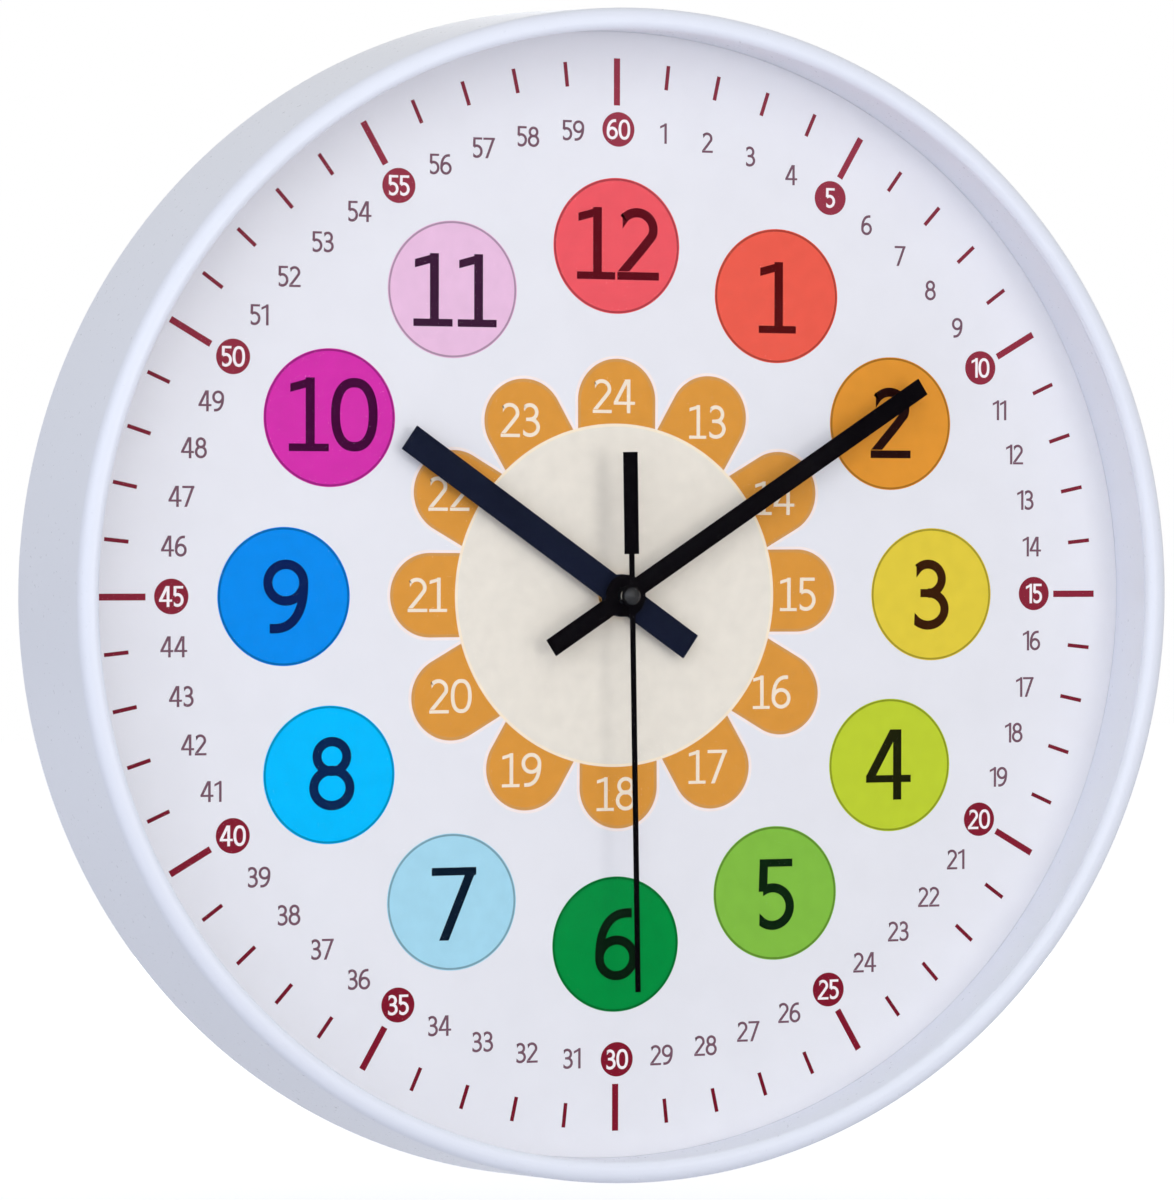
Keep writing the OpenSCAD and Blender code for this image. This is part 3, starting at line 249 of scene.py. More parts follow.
def turned(points, hour_angle):
    """Points turned clockwise about the dial's centre."""
    turn = math.radians(hour_angle)
    cos, sin = math.cos(turn), math.sin(turn)
    return np.asarray(points, float) @ np.array([[cos, -sin], [sin, cos]])


# Numerals: strokes on a unit box, x and z from 0 to 1 between the outermost stroke centres

FLAT, UPRIGHT = (1, 0), (0, 1)


def stroke(path, closed=False, cuts=(None, None), caps=(False, False), weight=1.0):
    """One stroke of a numeral."""
    return {"path": np.asarray(path, float), "closed": closed, "cuts": cuts, "caps": caps, "weight": weight}


def bar(start, end, weight=0.8):
    """A level bar that fills its box from side to side."""
    return stroke([start, end], caps=(True, True), weight=weight)


def digit(width, *strokes):
    """A digit: its width as a share of its height, and its strokes."""
    return width, strokes


def six_strokes():
    """The bowl and the rising arm of a 6."""
    return [
        stroke(loop((0.5, 0.285), (0.5, 0.285)), closed=True),
        stroke(bow((0.84, 0.285), (0.84, 0.715), 85, 180, power=0.84), cuts=(UPRIGHT, None)),
    ]


def nine_strokes():
    """A 6 turned half round."""
    strokes = six_strokes()
    for part in strokes:
        part["path"] = 1 - part["path"]
    return strokes


# The print sets each numeral and petal a little off its place on the ring, by so many mm right and up.
# The hours run from 1 to 12
HOUR_PLACES = (
    (0.3, -0.4), (0.1, 0.2), (-0.3, -0.1), (-0.3, 0.1), (0.1, -0.4), (0.3, -0.1),
    (0.6, -0.5), (0.7, 0.3), (0.5, 0.0), (1.0, 0.8), (0.7, -0.2), (0.4, 0.6),
)
# The petals run from 24, 13, 14 to 23
PETAL_PLACES = (
    (0.1, -0.1), (-0.3, 1.1), (0.6, 0.6), (0.7, 1.1), (1.4, 0.2), (0.7, 0.2),
    (0.7, 0.9), (1.0, 0.7), (-0.3, -0.1), (-0.7, 0.2), (0.3, 0.4), (0.4, -0.2),
)
PETAL_NUMERAL_PLACES = (
    (-0.7, -0.1), (-0.2, 0.4), (0.1, -0.5), (-0.1, 0.1), (-0.6, 0.3), (0.1, -0.1),
    (0.1, 0.2), (-0.3, -0.1), (-0.9, 0.2), (-0.3, 0.3), (-1.4, 0.3), (-0.8, 0.4),
)
# The ring of minute numerals and dots lies this far off the dial's middle
MINUTE_PLACE = (0.43, 0.1)
NUMERALS = {
    "0": digit(0.67, stroke(loop((0.5, 0.5), (0.5, 0.5), 56, 0.86), closed=True)),
    "1": digit(
        0.57,
        stroke([(0.545, 0), (0.545, 1)], caps=(True, True)),
        stroke([(-0.1, 0.91), (0.545, 1.0)], cuts=(UPRIGHT, UPRIGHT), weight=0.85),
        bar((0, -0.015), (1, -0.015)),
    ),
    "1 plain": digit(
        0.4,
        stroke([(1, 0), (1, 1)], caps=(True, True)),
        stroke([(-0.2, 0.84), (1, 1.0)], cuts=(UPRIGHT, UPRIGHT), weight=0.85),
    ),
    "2": digit(
        0.625,
        stroke(
            np.vstack([bow((0.46, 0.735), (0.5, 0.265), 150, -24, 24), [(0.6, 0.41), (0.055, 0.06)]]),
            cuts=(UPRIGHT, FLAT),
        ),
        bar((0, -0.012), (1, -0.012), 0.85),
    ),
    "3": digit(
        0.585,
        stroke(bow((0.42, 0.76), (0.48, 0.24), 146, -90, 24), cuts=(UPRIGHT, None)),
        stroke(bow((0.42, 0.265), (0.58, 0.265), 90, -142, 24), cuts=(None, UPRIGHT)),
        stroke([(0.16, 0.525), (0.46, 0.525)], weight=0.9),
    ),
    "4": digit(
        0.7,
        stroke([(0.74, 0), (0.74, 1)], caps=(True, True)),
        stroke([(0.61, 1.0), (0.017, 0.315)], cuts=(FLAT, FLAT), caps=(True, False)),
        bar((0, 0.27), (1, 0.27)),
    ),
    "5": digit(
        0.575,
        bar((0.1, 1.012), (0.94, 1.012), 0.85),
        stroke([(0.1, 1), (0.07, 0.55)], cuts=(FLAT, FLAT), caps=(True, False)),
        stroke(bow((0.4, 0.305), (0.6, 0.305), 123, -138, 26), cuts=(UPRIGHT, UPRIGHT)),
    ),
    "6": digit(0.64, *six_strokes()),
    "7": digit(
        0.65,
        bar((0, 1.012), (1, 1.012), 0.85),
        stroke([(0.97, 1.0), (0.27, 0)], cuts=(FLAT, FLAT), caps=(False, True)),
    ),
    "8": digit(
        0.65,
        stroke(loop((0.5, 0.768), (0.41, 0.232)), closed=True),
        stroke(loop((0.5, 0.275), (0.5, 0.275)), closed=True),
    ),
    "9": digit(0.64, *nine_strokes()),
}


def numeral(text, centre, height, width, low, gap, narrow=1.0, footed=True):
    """The strokes of a whole number, centred on a dial point. Its ones stand on a bar if footed.

    Each stroke's unit path is stretched to the digit's box less the stroke width, and every next
    stroke lies a hair higher, so that no two faces share a plane."""
    shapes = ["1 plain" if figure == "1" and not footed else figure for figure in text]
    widths = [NUMERALS[shape][0] * height * narrow for shape in shapes]
    left = centre[0] - (sum(widths) + gap * (len(text) - 1)) / 2
    bottom = centre[1] - height / 2
    foot = low - HAIR
    parts = []
    for shape, digit_width in zip(shapes, widths):
        for step, part in enumerate(NUMERALS[shape][1]):
            path = part["path"] * (digit_width - width, height - width)
            path = path + (left + width / 2, bottom + width / 2)
            path = reached(path, width / 2, part["caps"], part["cuts"])
            top = low + NUMERAL_RISE + STROKE_STEP * step
            parts.append(ribbon(path, width * part["weight"], foot, top, part["closed"], part["cuts"]))
        left += digit_width + gap
    return parts


def dial_piece(name, layers, material):
    """Joins (points, faces) parts, each with its colour, into one piece in the dial's own frame."""
    points, faces, inks, base = [], [], [], 0
    for colour, parts in layers:
        for part_points, part_faces in parts:
            points.append(part_points)
            faces += [[index + base for index in face] for face in part_faces]
            inks.append(np.tile(opaque(colour), (len(part_points), 1)))
            base += len(part_points)
    points = np.vstack(points)
    world = np.column_stack(
        [DIAL_X + points[:, 0] * MM, PAPER_FACE - points[:, 2] * MM, DIAL_Z + points[:, 1] * MM]
    )
    mesh = bpy.data.meshes.new(name)
    mesh.from_pydata(world.tolist(), [], faces)
    mesh.update()
    ink = mesh.attributes.new("ink", "FLOAT_COLOR", "POINT")
    ink.data.foreach_set("color", np.vstack(inks).astype(np.float32).ravel())
    piece = bpy.data.objects.new(name, mesh)
    bpy.context.scene.collection.objects.link(piece)
    mesh.materials.append(material)
    mesh.shade_smooth()
    mesh.set_sharp_from_angle(angle=math.radians(25))
    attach(piece, "case")
    return piece


# Properties


def size_mm(name, description, default, low=0.01, high=400.0):
    """A length in millimetres."""
    return bpy.props.FloatProperty(
        name=name, description=description, default=default, min=low, max=high, precision=2
    )


def tint(name, description, code):
    """A colour, given as sRGB hex."""
    return bpy.props.FloatVectorProperty(
        name=name, description=description, default=linear(code), subtype="COLOR", size=3, min=0, max=1
    )


def angle(name, description, degrees):
    """An angle, given in degrees."""
    return bpy.props.FloatProperty(
        name=name, description=description, default=math.radians(degrees), subtype="ANGLE"
    )


def power(name, description, watts):
    """A lamp's power."""
    return bpy.props.FloatProperty(
        name=name, description=description, default=watts, min=0, max=100, unit="POWER"
    )


class ClockSizes(bpy.types.PropertyGroup):
    """Sizes of the printed dial, in millimetres."""

    hour_ring: size_mm("Hour ring", "Radius of the ring of hour discs", 89.98)
    hour_disc: size_mm("Hour disc", "Radius of an hour disc", 17.48)
    hour_rim: size_mm("Disc rim", "Width of the darker rim of an hour disc", 0.5)
    hour_rim_inset: size_mm("Disc rim inset", "Rim's middle line inside the edge of an hour disc", 0.42)
    hour_height: size_mm("Hour numeral", "Height of the hour numerals", 18.55)
    hour_stroke: size_mm("Hour stroke", "Stroke width of the hour numerals", 2.4)
    minute_ring: size_mm("Minute ring", "Radius of the ring of minute numerals", 119.85)
    minute_dot: size_mm("Minute dot", "Radius of the red dots under 5, 10, 15 and so on", 4.45)
    minute_height: size_mm("Minute numeral", "Height of the minute numerals", 5.25)
    minute_stroke: size_mm("Minute stroke", "Stroke width of the minute numerals", 0.66)
    dot_height: size_mm("Dot numeral", "Height of the numerals in the red dots", 5.2)
    dot_stroke: size_mm("Dot stroke", "Stroke width of the numerals in the red dots", 0.72)
    long_tick_from: size_mm("Long tick from", "Inner radius of the five-minute ticks", 126.1)
    long_tick_to: size_mm("Long tick to", "Outer radius of the five-minute ticks", 138.2)
    long_tick_width: size_mm("Long tick width", "Width of the five-minute ticks", 1.7)
    short_tick_from: size_mm("Short tick from", "Inner radius of the minute ticks", 131.2)
    short_tick_to: size_mm("Short tick to", "Outer radius of the minute ticks", 137.5)
    short_tick_width: size_mm("Short tick width", "Width of the minute ticks", 1.0)
    cream_disc: size_mm("Cream disc", "Radius of the cream disc in the middle", 43.5)
    petal_tip: size_mm("Petal tip", "Radius that the petals at 24, 15, 18 and 21 reach", 61.05)
    petal_tip_more: size_mm("Other petals", "Further reach of the petals between those", 1.6, 0, 10)
    petal_end: size_mm("Petal end", "Radius of a petal's round end", 10.75)
    petal_base: size_mm("Petal base", "Width of a petal where it meets the cream disc", 21.4)
    petal_lap: size_mm("Petal lap", "How far a petal's foot reaches under the cream disc", 2.2)
    petal_line: size_mm("Petal line", "Width of the fine lines along a petal's edge", 0.75)
    petal_height: size_mm("Petal numeral", "Height of the numerals 13 to 24", 8.7)
    petal_stroke: size_mm("Petal stroke", "Stroke width of the numerals 13 to 24", 0.98)
    petal_numerals: size_mm("Petal numeral ring", "Radius of the ring of numerals 13 to 24", 51.4)
    bush_hole: size_mm("Bush hole", "Radius of the hole for the threaded bush", 3.65)


class ClockInks(bpy.types.PropertyGroup):
    """Colours of the printed dial."""

    paper: tint("Paper", "The dial card, white with a blue cast", "#EFEEF1")
    cream: tint("Cream", "The disc in the middle", "#F1E9DA")
    petal: tint("Petal", "The petals of the 24-hour ring", "#E39B40")
    petal_edge: tint("Petal edge", "The browner line along a petal's edge", "#D89D58")
    petal_pale: tint("Petal outline", "The pale line just outside a petal", "#FFF0EA")
    cream_edge: tint("Cream edge", "The warm line round the cream disc", "#FFEED3")
    petal_numeral: tint("Petal numeral", "The numerals 13 to 24", "#FBEAD2")
    red_top: tint("Red, top", "The dots and ticks near the top", "#9C3B4B")
    red_low: tint("Red, bottom", "The dots and ticks near the bottom", "#84182C")
    minute: tint("Minute numeral", "The minute numerals", "#7A5865")
    dot_numeral: tint("Dot numeral", "The numerals in the red dots", "#FFF7F7")


# The hours' discs and their numerals, from 1 to 12
HOUR_INKS = (
    ("Vermilion", "#F4604E", "Maroon", "#560A0C"),
    ("Orange", "#EA9A36", "Brown black", "#240A08"),
    ("Yellow", "#EAD142", "Brown", "#381A04"),
    ("Lime", "#C5D636", "Olive black", "#1B1D04"),
    ("Leaf green", "#87C245", "Dark green", "#062008"),
    ("Green", "#00913F", "Dark green", "#021A08"),
    ("Pale blue", "#ABDEEF", "Dark navy", "#041628"),
    ("Cyan", "#00C1FF", "Navy", "#042450"),
    ("Blue", "#058EEE", "Navy", "#041E56"),
    ("Magenta", "#DA33AB", "Dark purple", "#420436"),
    ("Pale pink", "#F0C3E0", "Dark purple", "#3C1A36"),
    ("Coral", "#F55C64", "Maroon", "#5E0A18"),
)
for hour, (disc_word, disc_code, ink_word, ink_code) in enumerate(HOUR_INKS, 1):
    ClockInks.__annotations__[f"disc_{hour}"] = tint(f"Disc {hour}", disc_word, disc_code)
    ClockInks.__annotations__[f"ink_{hour}"] = tint(f"Numeral {hour}", ink_word, ink_code)


class ClockFinishes(bpy.types.PropertyGroup):
    """Colours of the plastics, metals and paint."""

    case_white: tint("Case", "White moulded case ring", "#E9ECF5")
    dial_white: tint("Dial plate", "White moulded dial plate", "#E8E9EC")
    movement_black: tint("Movement housing", "Black moulded housing and hanger", "#17181A")
    gear_ivory: tint("Gears", "Natural acetal gears and plates", "#E4DCC4")
    knob_grey: tint("Setting knob", "Grey moulded knob", "#7E8286")
    hand_black: tint("Hands", "Black painted aluminium", "#080609")
    # The navy in this colour is a painted sheen: a bluish reflection painted into the black
    hour_hand_black: tint("Hour hand", "Navy-black painted aluminium", "#161B2D")
    collet_black: tint("Collets", "Black moulded collets and bush", "#0A0B0E")
    brass: tint("Brass", "Bush, washer and nut", "#C9A050")
    nickel: tint("Nickel", "Nickel-plated contacts and can", "#BEBBB4")
    zinc: tint("Zinc", "Zinc-plated screws", "#B4B8BC")
    rubber: tint("Rubber", "Black washer", "#1C1C1D")
    jacket: tint("Cell jacket", "Dark body of the cell", "#2B3036")
    jacket_band: tint("Cell band", "Copper-coloured end of the cell", "#B9703C")
    board: tint("Circuit board", "Green solder mask", "#1E6B3C")
    iron: tint("Motor iron", "Bare soft iron", "#8C8A86")
    copper: tint("Winding", "Enamelled copper wire", "#C26A36")
    magnet: tint("Magnet", "Bonded ferrite", "#3B3B3E")
    steel: tint("Arbor", "Polished steel", "#C4C5C8")


class ClockStudio(bpy.types.PropertyGroup):
    """Camera and light."""

    lens_mm: bpy.props.FloatProperty(
        name="Lens", description="Focal length of the camera", default=148.17, min=20, max=400, unit="CAMERA"
    )
    distance: bpy.props.FloatProperty(
        name="Distance", description="Camera to the aim point", default=1.27, min=0.3, max=10, unit="LENGTH"
    )
    azimuth: angle("Azimuth", "Camera's turn from straight in front", -21.78)
    elevation: angle("Elevation", "Camera's height angle", 0.8)
    roll: angle("Roll", "Camera's turn about its view", 0.1)
    aim_x: size_mm("Aim x", "Aim point right of the dial's centre", -8.05, -200, 200)
    aim_z: size_mm("Aim z", "Aim point above the dial's centre", -1.17, -200, 200)
    ambient: bpy.props.FloatProperty(
        name="Ambient", description="Even light from all round", default=0.44, min=0, max=2
    )
    top_power: power("Top lamp", "Broad lamp above, in front", 3.15)
    left_power: power("Left lamp", "Broad, cool lamp at the left", 5.55)
    right_power: power("Right lamp", "Small lamp at the right", 1.9)
    back_power: power("Back lamp", "Lamp behind, for the back", 6.0)


# Materials


def clouds(tree, place, size_mm, detail=2.0):
    """A noise texture whose patches are about size_mm across."""
    inputs = {"Vector": place, "Scale": 1 / (size_mm * MM), "Detail": detail}
    return add_node(tree, "ShaderNodeTexNoise", inputs)


def waves(tree, place, pitch_mm, distortion, detail, **settings):
    """A Wave texture with bands pitch_mm apart: at scale 1 they are pi / 10 apart."""
    scale = math.pi / 10 / (pitch_mm * MM)
    inputs = {"Vector": place, "Scale": scale, "Distortion": distortion, "Detail": detail}
    return add_node(tree, "ShaderNodeTexWave", inputs, **settings)


def spread(tree, texture, low, high, reach=0.2):
    """Values from low to high where a texture runs from 0.5 - reach to 0.5 + reach."""
    inputs = {"From Min": 0.5 - reach, "From Max": 0.5 + reach, "To Min": low, "To Max": high}
    return add_node(tree, "ShaderNodeMapRange", {"Value": texture.outputs["Fac"], **inputs})


def between(tree, factor, first, second):
    """A colour that goes from the first to the second with the factor."""
    colours = [c if isinstance(c, bpy.types.NodeSocket) else opaque(c) for c in (first, second)]
    inputs = {0: factor, 6: colours[0], 7: colours[1]}
    return add_node(tree, "ShaderNodeMix", inputs, data_type="RGBA").outputs[2]


def relief(tree, texture, depth_mm):
    """A texture's bumps, depth_mm deep."""
    inputs = {"Strength": 1.0, "Distance": depth_mm * MM, "Height": texture.outputs["Fac"]}
    return add_node(tree, "ShaderNodeBump", inputs)


def worked_out(tree, operation, first, second):
    """The result of a Math node."""
    return add_node(tree, "ShaderNodeMath", {0: first, 1: second}, operation=operation).outputs[0]


def with_surface(material, inputs):
    """The material, ended in a Principled shader with these inputs."""
    tree = material.node_tree
    end_material(tree, add_node(tree, "ShaderNodeBsdfPrincipled", inputs))
    return material


def moulded_plastic(name, colour, roughness, grain_mm, depth_mm, tone=0.03, glow=0.0, specular=0.5):
    """Injection-moulded plastic: a fine grain from the mould's wall and slow tone drift from its flow."""
    material, tree, place = start_material(name)
    flow = clouds(tree, place, 35.0)
    grain = clouds(tree, place, grain_mm, 3.0)
    inputs = {
        "Base Color": between(tree, flow.outputs["Fac"], shade(colour, 1 - tone), shade(colour, 1 + tone)),
        "Roughness": spread(tree, grain, roughness * 0.85, roughness * 1.15),
        "Normal": relief(tree, grain, depth_mm),
        "IOR": 1.53,
        "Specular IOR Level": specular,
        "Subsurface Weight": glow,
        "Subsurface Radius": (1.0, 0.8, 0.6),
        "Subsurface Scale": 1.5 * MM,
    }
    return with_surface(material, inputs)


def worked_metal(name, colour, roughness, pitch_mm, depth_mm, stretch=(1, 1, 1), rings_at=None):
    """Bare or plated metal: turned rings about an axis, or a drawn or rolled grain along one direction."""
    material, tree, place = start_material(name)
    inputs = {"Vector": place, "Location": [-c for c in rings_at or (0, 0, 0)], "Scale": stretch}
    mapping = add_node(tree, "ShaderNodeMapping", inputs)
    if rings_at is None:
        lines = clouds(tree, mapping, pitch_mm, 4.0)
    else:
        lines = waves(tree, mapping, pitch_mm, 0.4, 2.0, wave_type="RINGS", rings_direction="Y")
        lines.inputs["Detail Scale"].default_value = 2.0
    wear = clouds(tree, place, 3.0, 3.0)
    inputs = {
        "Base Color": between(tree, wear.outputs["Fac"], shade(colour, 0.86), shade(colour, 1.06)),
        "Roughness": spread(tree, lines, roughness * 0.75, roughness * 1.3, 0.25),
        "Normal": relief(tree, lines, depth_mm),
        "Metallic": 1.0,
    }
    return with_surface(material, inputs)


def inked(name, cloud, tone, tooth, depth_mm, roughness, specular):
    """A print or card in the colours of its ink attribute, with faint clouds of tone and a fine tooth.

    The cloud is its size in mm and its detail, the tone its lowest and highest factor, and the tooth
    its size in mm."""
    material, tree, place = start_material(name)
    ink = add_node(tree, "ShaderNodeAttribute", attribute_name="ink").outputs["Color"]
    factor = spread(tree, clouds(tree, place, *cloud), *tone)
    inputs = {
        "Base Color": add_node(tree, "ShaderNodeVectorMath", {0: ink, 1: factor}, operation="MULTIPLY"),
        "Normal": relief(tree, clouds(tree, place, tooth), depth_mm),
        "Roughness": roughness,
        "IOR": 1.5,
        "Specular IOR Level": specular,
    }
    return with_surface(material, inputs)


def screen_ink(name):
    """Screen-printed ink: the squeegee leaves its layer about 3% uneven over some millimetres."""
    return inked(name, (4.0, 4.0), (0.97, 1.03), 0.5, 0.004, 0.55, 0.03)


def coated_card(name):
    """Coated white card: fibre clouds some 12 mm across and hardly 1% deep, under a matt coat."""
    return inked(name, (12.0, 5.0), (0.985, 1.01), 0.4, 0.006, 0.5, 0.1)


def clear_acrylic(name):
    """A clear acrylic window: all but unseen, with a thin reflection that grows towards grazing."""
    material, tree, place = start_material(name)
    fresnel = add_node(tree, "ShaderNodeFresnel", {"IOR": 1.03})
    clear = add_node(tree, "ShaderNodeBsdfTransparent", {"Color": opaque(linear("#FFFFFF"))})
    gloss = spread(tree, clouds(tree, place, 25.0), 0.02, 0.05)
    shine = add_node(tree, "ShaderNodeBsdfGlossy", {"Color": opaque(linear("#FFFFFF")), "Roughness": gloss})
    end_material(tree, add_node(tree, "ShaderNodeMixShader", {0: fresnel, 1: clear, 2: shine}))
    return material


def painted_aluminium(name, colour):
    """Stamped aluminium sheet in satin black paint: a faint roll grain shows through the paint."""
    material, tree, place = start_material(name)
    drift = clouds(tree, place, 18.0)
    peel = clouds(tree, place, 0.7)
    inputs = {
        "Base Color": between(tree, drift.outputs["Fac"], shade(colour, 0.7), shade(colour, 1.4)),
        "Roughness": spread(tree, peel, 0.52, 0.66),
        "Normal": relief(tree, peel, 0.01),
        "IOR": 1.5,
        "Specular IOR Level": 0.01,
    }
    return with_surface(material, inputs)


def cell_jacket(name, finishes, band_mm=16.5, cap_mm=2.6, foot_mm=1.2):
    """An AA cell: a dark printed sleeve with a copper-coloured end, and bare plated steel at both ends.

    The coloured end is band_mm long with its bare cap of cap_mm, and the other end is bare for foot_mm."""
    low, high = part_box("aa_cell")
    material, tree, place = start_material(name)
    along = add_node(tree, "ShaderNodeSeparateXYZ", {0: place}).outputs["X"]
    band = worked_out(tree, "GREATER_THAN", along, high.x - band_mm * MM)
    cap = worked_out(tree, "GREATER_THAN", along, high.x - cap_mm * MM)
    foot = worked_out(tree, "LESS_THAN", along, low.x + foot_mm * MM)
    bare = worked_out(tree, "MAXIMUM", cap, foot)
    sleeve = between(tree, band, finishes.jacket, finishes.jacket_band)
    film = clouds(tree, place, 1.5)
    inputs = {
        "Base Color": between(tree, bare, sleeve, finishes.nickel),
        "Metallic": worked_out(tree, "MAXIMUM", band, bare),
        "Roughness": spread(tree, film, 0.25, 0.36),
        "Normal": relief(tree, film, 0.008),
    }
    return with_surface(material, inputs)


def wound_wire(name, colour):
    """A coil of enamelled wire: turns side by side. The real wire is 0.05 mm, too fine to show,
    so the turns are drawn 0.35 mm apart. Their colour runs from dark to light across each turn:
    painted shade in the grooves between turns and a painted highlight on their crowns."""
    material, tree, place = start_material(name)
    turns = waves(tree, place, 0.35, 0.3, 1.0, wave_type="BANDS", bands_direction="Z")
    inputs = {
        # Painted shade between the turns and painted highlight on their crowns, darkest at 0.45 of the copper
        "Base Color": between(tree, turns.outputs["Fac"], shade(colour, 0.45), shade(colour, 1.1)),
        "Normal": relief(tree, turns, 0.08),
        "Metallic": 1.0,
        "Roughness": 0.3,
        "Coat Weight": 0.6,
        "Coat Roughness": 0.15,
    }
    return with_surface(material, inputs)


def solder_mask(name, colour):
    """A glass-epoxy board under green solder mask: the weave of the glass cloth, 0.5 mm apart, shows."""
    material, tree, place = start_material(name)
    inputs = {
        "Vector": add_node(tree, "ShaderNodeMapping", {"Vector": place, "Rotation": (math.pi / 2, 0, 0)}),
        "Color1": opaque(shade(colour, 1.1)),
        "Color2": opaque(shade(colour, 0.9)),
        "Mortar": opaque(shade(colour, 0.6)),
        "Scale": 1 / (0.5 * MM),
        "Mortar Size": 0.08,
        "Brick Width": 1.0,
        "Row Height": 1.0,
    }
    weave = add_node(tree, "ShaderNodeTexBrick", inputs)
    inputs = {
        "Base Color": weave,
        "Normal": relief(tree, weave, 0.01),
        "Roughness": 0.3,
        "Coat Weight": 0.3,
    }
    return with_surface(material, inputs)


def finish_nodes(material, *names):
    """Gives CAD nodes a material."""
    for name in names:
        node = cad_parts[name]
        if not node.material_slots:
            node.data.materials.append(material)
        for slot in node.material_slots:
            slot.material = material


# Operators

# Height of the solid core between the case's dial wall and its skirt, above the paper
CORE_HEIGHT = 13.5


def case_profile():
    """The case's section (radius, height): outer skirt, rounded rim, lens seat, dial wall and core."""
    back, front = -(CAD_BOX[1][1] - PAPER_FACE) / MM, (PAPER_FACE - CAD_BOX[0][1]) / MM
    lens_low, lens_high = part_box("lens")
    seat, ledge = (PAPER_FACE - lens_high.y) / MM, (PAPER_FACE - lens_low.y) / MM
    outer = (CAD_BOX[1][0] - CAD_BOX[0][0]) / 2 / MM
    rim_round, lip_round = 3, 2
    rim_middle, lip_middle = 146.32, 145.8
    mouth, lens_bore = lip_middle - lip_round, 144.75
    wall_top, wall_foot, wall_outside = 144.52, 145.1, 146.7
    skirt_top, skirt_foot = 148.11, 150.89
    # The outside flares by 4.4 degrees, and the rim's round begins square to it
    rim = bow((rim_middle, front - rim_round), (rim_round, rim_round), 4.4, 90, 22)
    lip = bow((lip_middle, front - lip_round), (lip_round, lip_round), 90, 180, 18)
    return np.vstack(
        [
            straight((outer, back), rim[0])[:-1],
            rim,
            lip,
            straight((mouth, front - lip_round), (mouth, ledge))[1:],
            [(lens_bore, ledge)],
            [(lens_bore, seat)],
            straight((wall_top, seat - 0.3), (wall_foot, -PAPER_BACK)),
            straight((wall_outside, -PAPER_BACK), (wall_outside, CORE_HEIGHT)),
            straight((skirt_top, CORE_HEIGHT), (skirt_foot, back)),
        ]
    )


def screw_boss(index):
    """One of eight bosses between wall and skirt: a circle's width, kept between the two."""
    boss_radius, boss_ring = 2.4, 147.04
    inner, outer = 146.4, 148.6
    radius = np.linspace(inner, outer, 12)
    half = np.sqrt(boss_radius**2 - (radius - boss_ring) ** 2)
    outline = np.vstack([np.column_stack([half, radius]), np.column_stack([-half, radius])[::-1]])
    return slab(turned(outline, 22.5 + 45 * index), -PAPER_BACK, CORE_HEIGHT + 0.2)


class CLOCK_OT_case(bpy.types.Operator):
    """Moulds the case ring smoothly, and finishes it, the dial plate and the lens"""

    bl_idname = "clock.case"
    bl_label = "Case, dial plate and lens"

    def execute(self, context):
        finishes = context.scene.clock_finishes
        # High-gloss white polystyrene, polished mould: even sheen with a faint orange peel
        case = moulded_plastic(
            "glossy_white_polystyrene", finishes.case_white, 0.32, 1.2, 0.0015, tone=0.006, specular=0.4
        )
        # The plate behind the card is the same plastic from a duller mould
        plate = moulded_plastic("matt_white_polystyrene", finishes.dial_white, 0.5, 0.6, 0.006, tone=0.01)
        parts = [revolve(case_profile(), 384)] + [screw_boss(index) for index in range(8)]
        ring = dial_piece("case_moulding", [(finishes.case_white, parts)], case)
        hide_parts("case_ring")
        finish_nodes(plate, "dial_plate")
        finish_nodes(clear_acrylic("clear_acrylic_window"), "lens")
        return {"FINISHED"}


class CLOCK_OT_card(bpy.types.Operator):
    """Lays the dial card and its cream disc"""

    bl_idname = "clock.card"
    bl_label = "Dial card"

    def execute(self, context):
        sizes, inks = context.scene.clock_sizes, context.scene.clock_inks
        radius = (SHEET_HIGH.x - SHEET_LOW.x) / 2 / MM
        middle, width = (radius + sizes.bush_hole) / 2, radius - sizes.bush_hole
        sheet = ribbon(circle(middle, 256), width, -PAPER_BACK, 0, closed=True)
        card = dial_piece("dial_card", [(inks.paper, [sheet])], coated_card("coated_white_card"))
        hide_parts("dial_sheet")
        middle, width = (sizes.cream_disc + sizes.bush_hole) / 2, sizes.cream_disc - sizes.bush_hole
        disc = ribbon(circle(middle, 192), width, INK_FOOT, CREAM_HEIGHT, closed=True)
        dial_piece("cream_disc", [(inks.cream, [disc])], screen_ink("cream_screen_ink"))
        return {"FINISHED"}


class CLOCK_OT_hours(bpy.types.Operator):
    """Prints the twelve coloured discs and the hour numerals"""

    bl_idname = "clock.hours"
    bl_label = "Hour discs"

    def execute(self, context):
        sizes, inks = context.scene.clock_sizes, context.scene.clock_inks
        discs, numbers = [], []
        for hour in range(1, 13):
            centre = clockwise(30 * hour, sizes.hour_ring)
            colour = getattr(inks, f"disc_{hour}")
            face = slab(circle(sizes.hour_disc, 96, centre), INK_FOOT, INK_HEIGHT)
            rim_path = circle(sizes.hour_disc - sizes.hour_rim_inset, 96, centre)
            rim = ribbon(rim_path, sizes.hour_rim, HAIR, INK_HEIGHT + EDGE_RISE, closed=True)
            discs += [(colour, [face]), (shade(colour, 0.5), [rim])]
            # The print sets the two ones of 11 further apart
            gap = 1.4 if hour == 11 else 0.6
            place = centre + HOUR_PLACES[hour - 1]
            strokes = numeral(str(hour), place, sizes.hour_height, sizes.hour_stroke, INK_HEIGHT, gap)
            numbers.append((getattr(inks, f"ink_{hour}"), strokes))
        ink = screen_ink("hour_screen_ink")
        dial_piece("hour_discs", discs, ink)
        dial_piece("hour_numerals", numbers, ink)
        return {"FINISHED"}


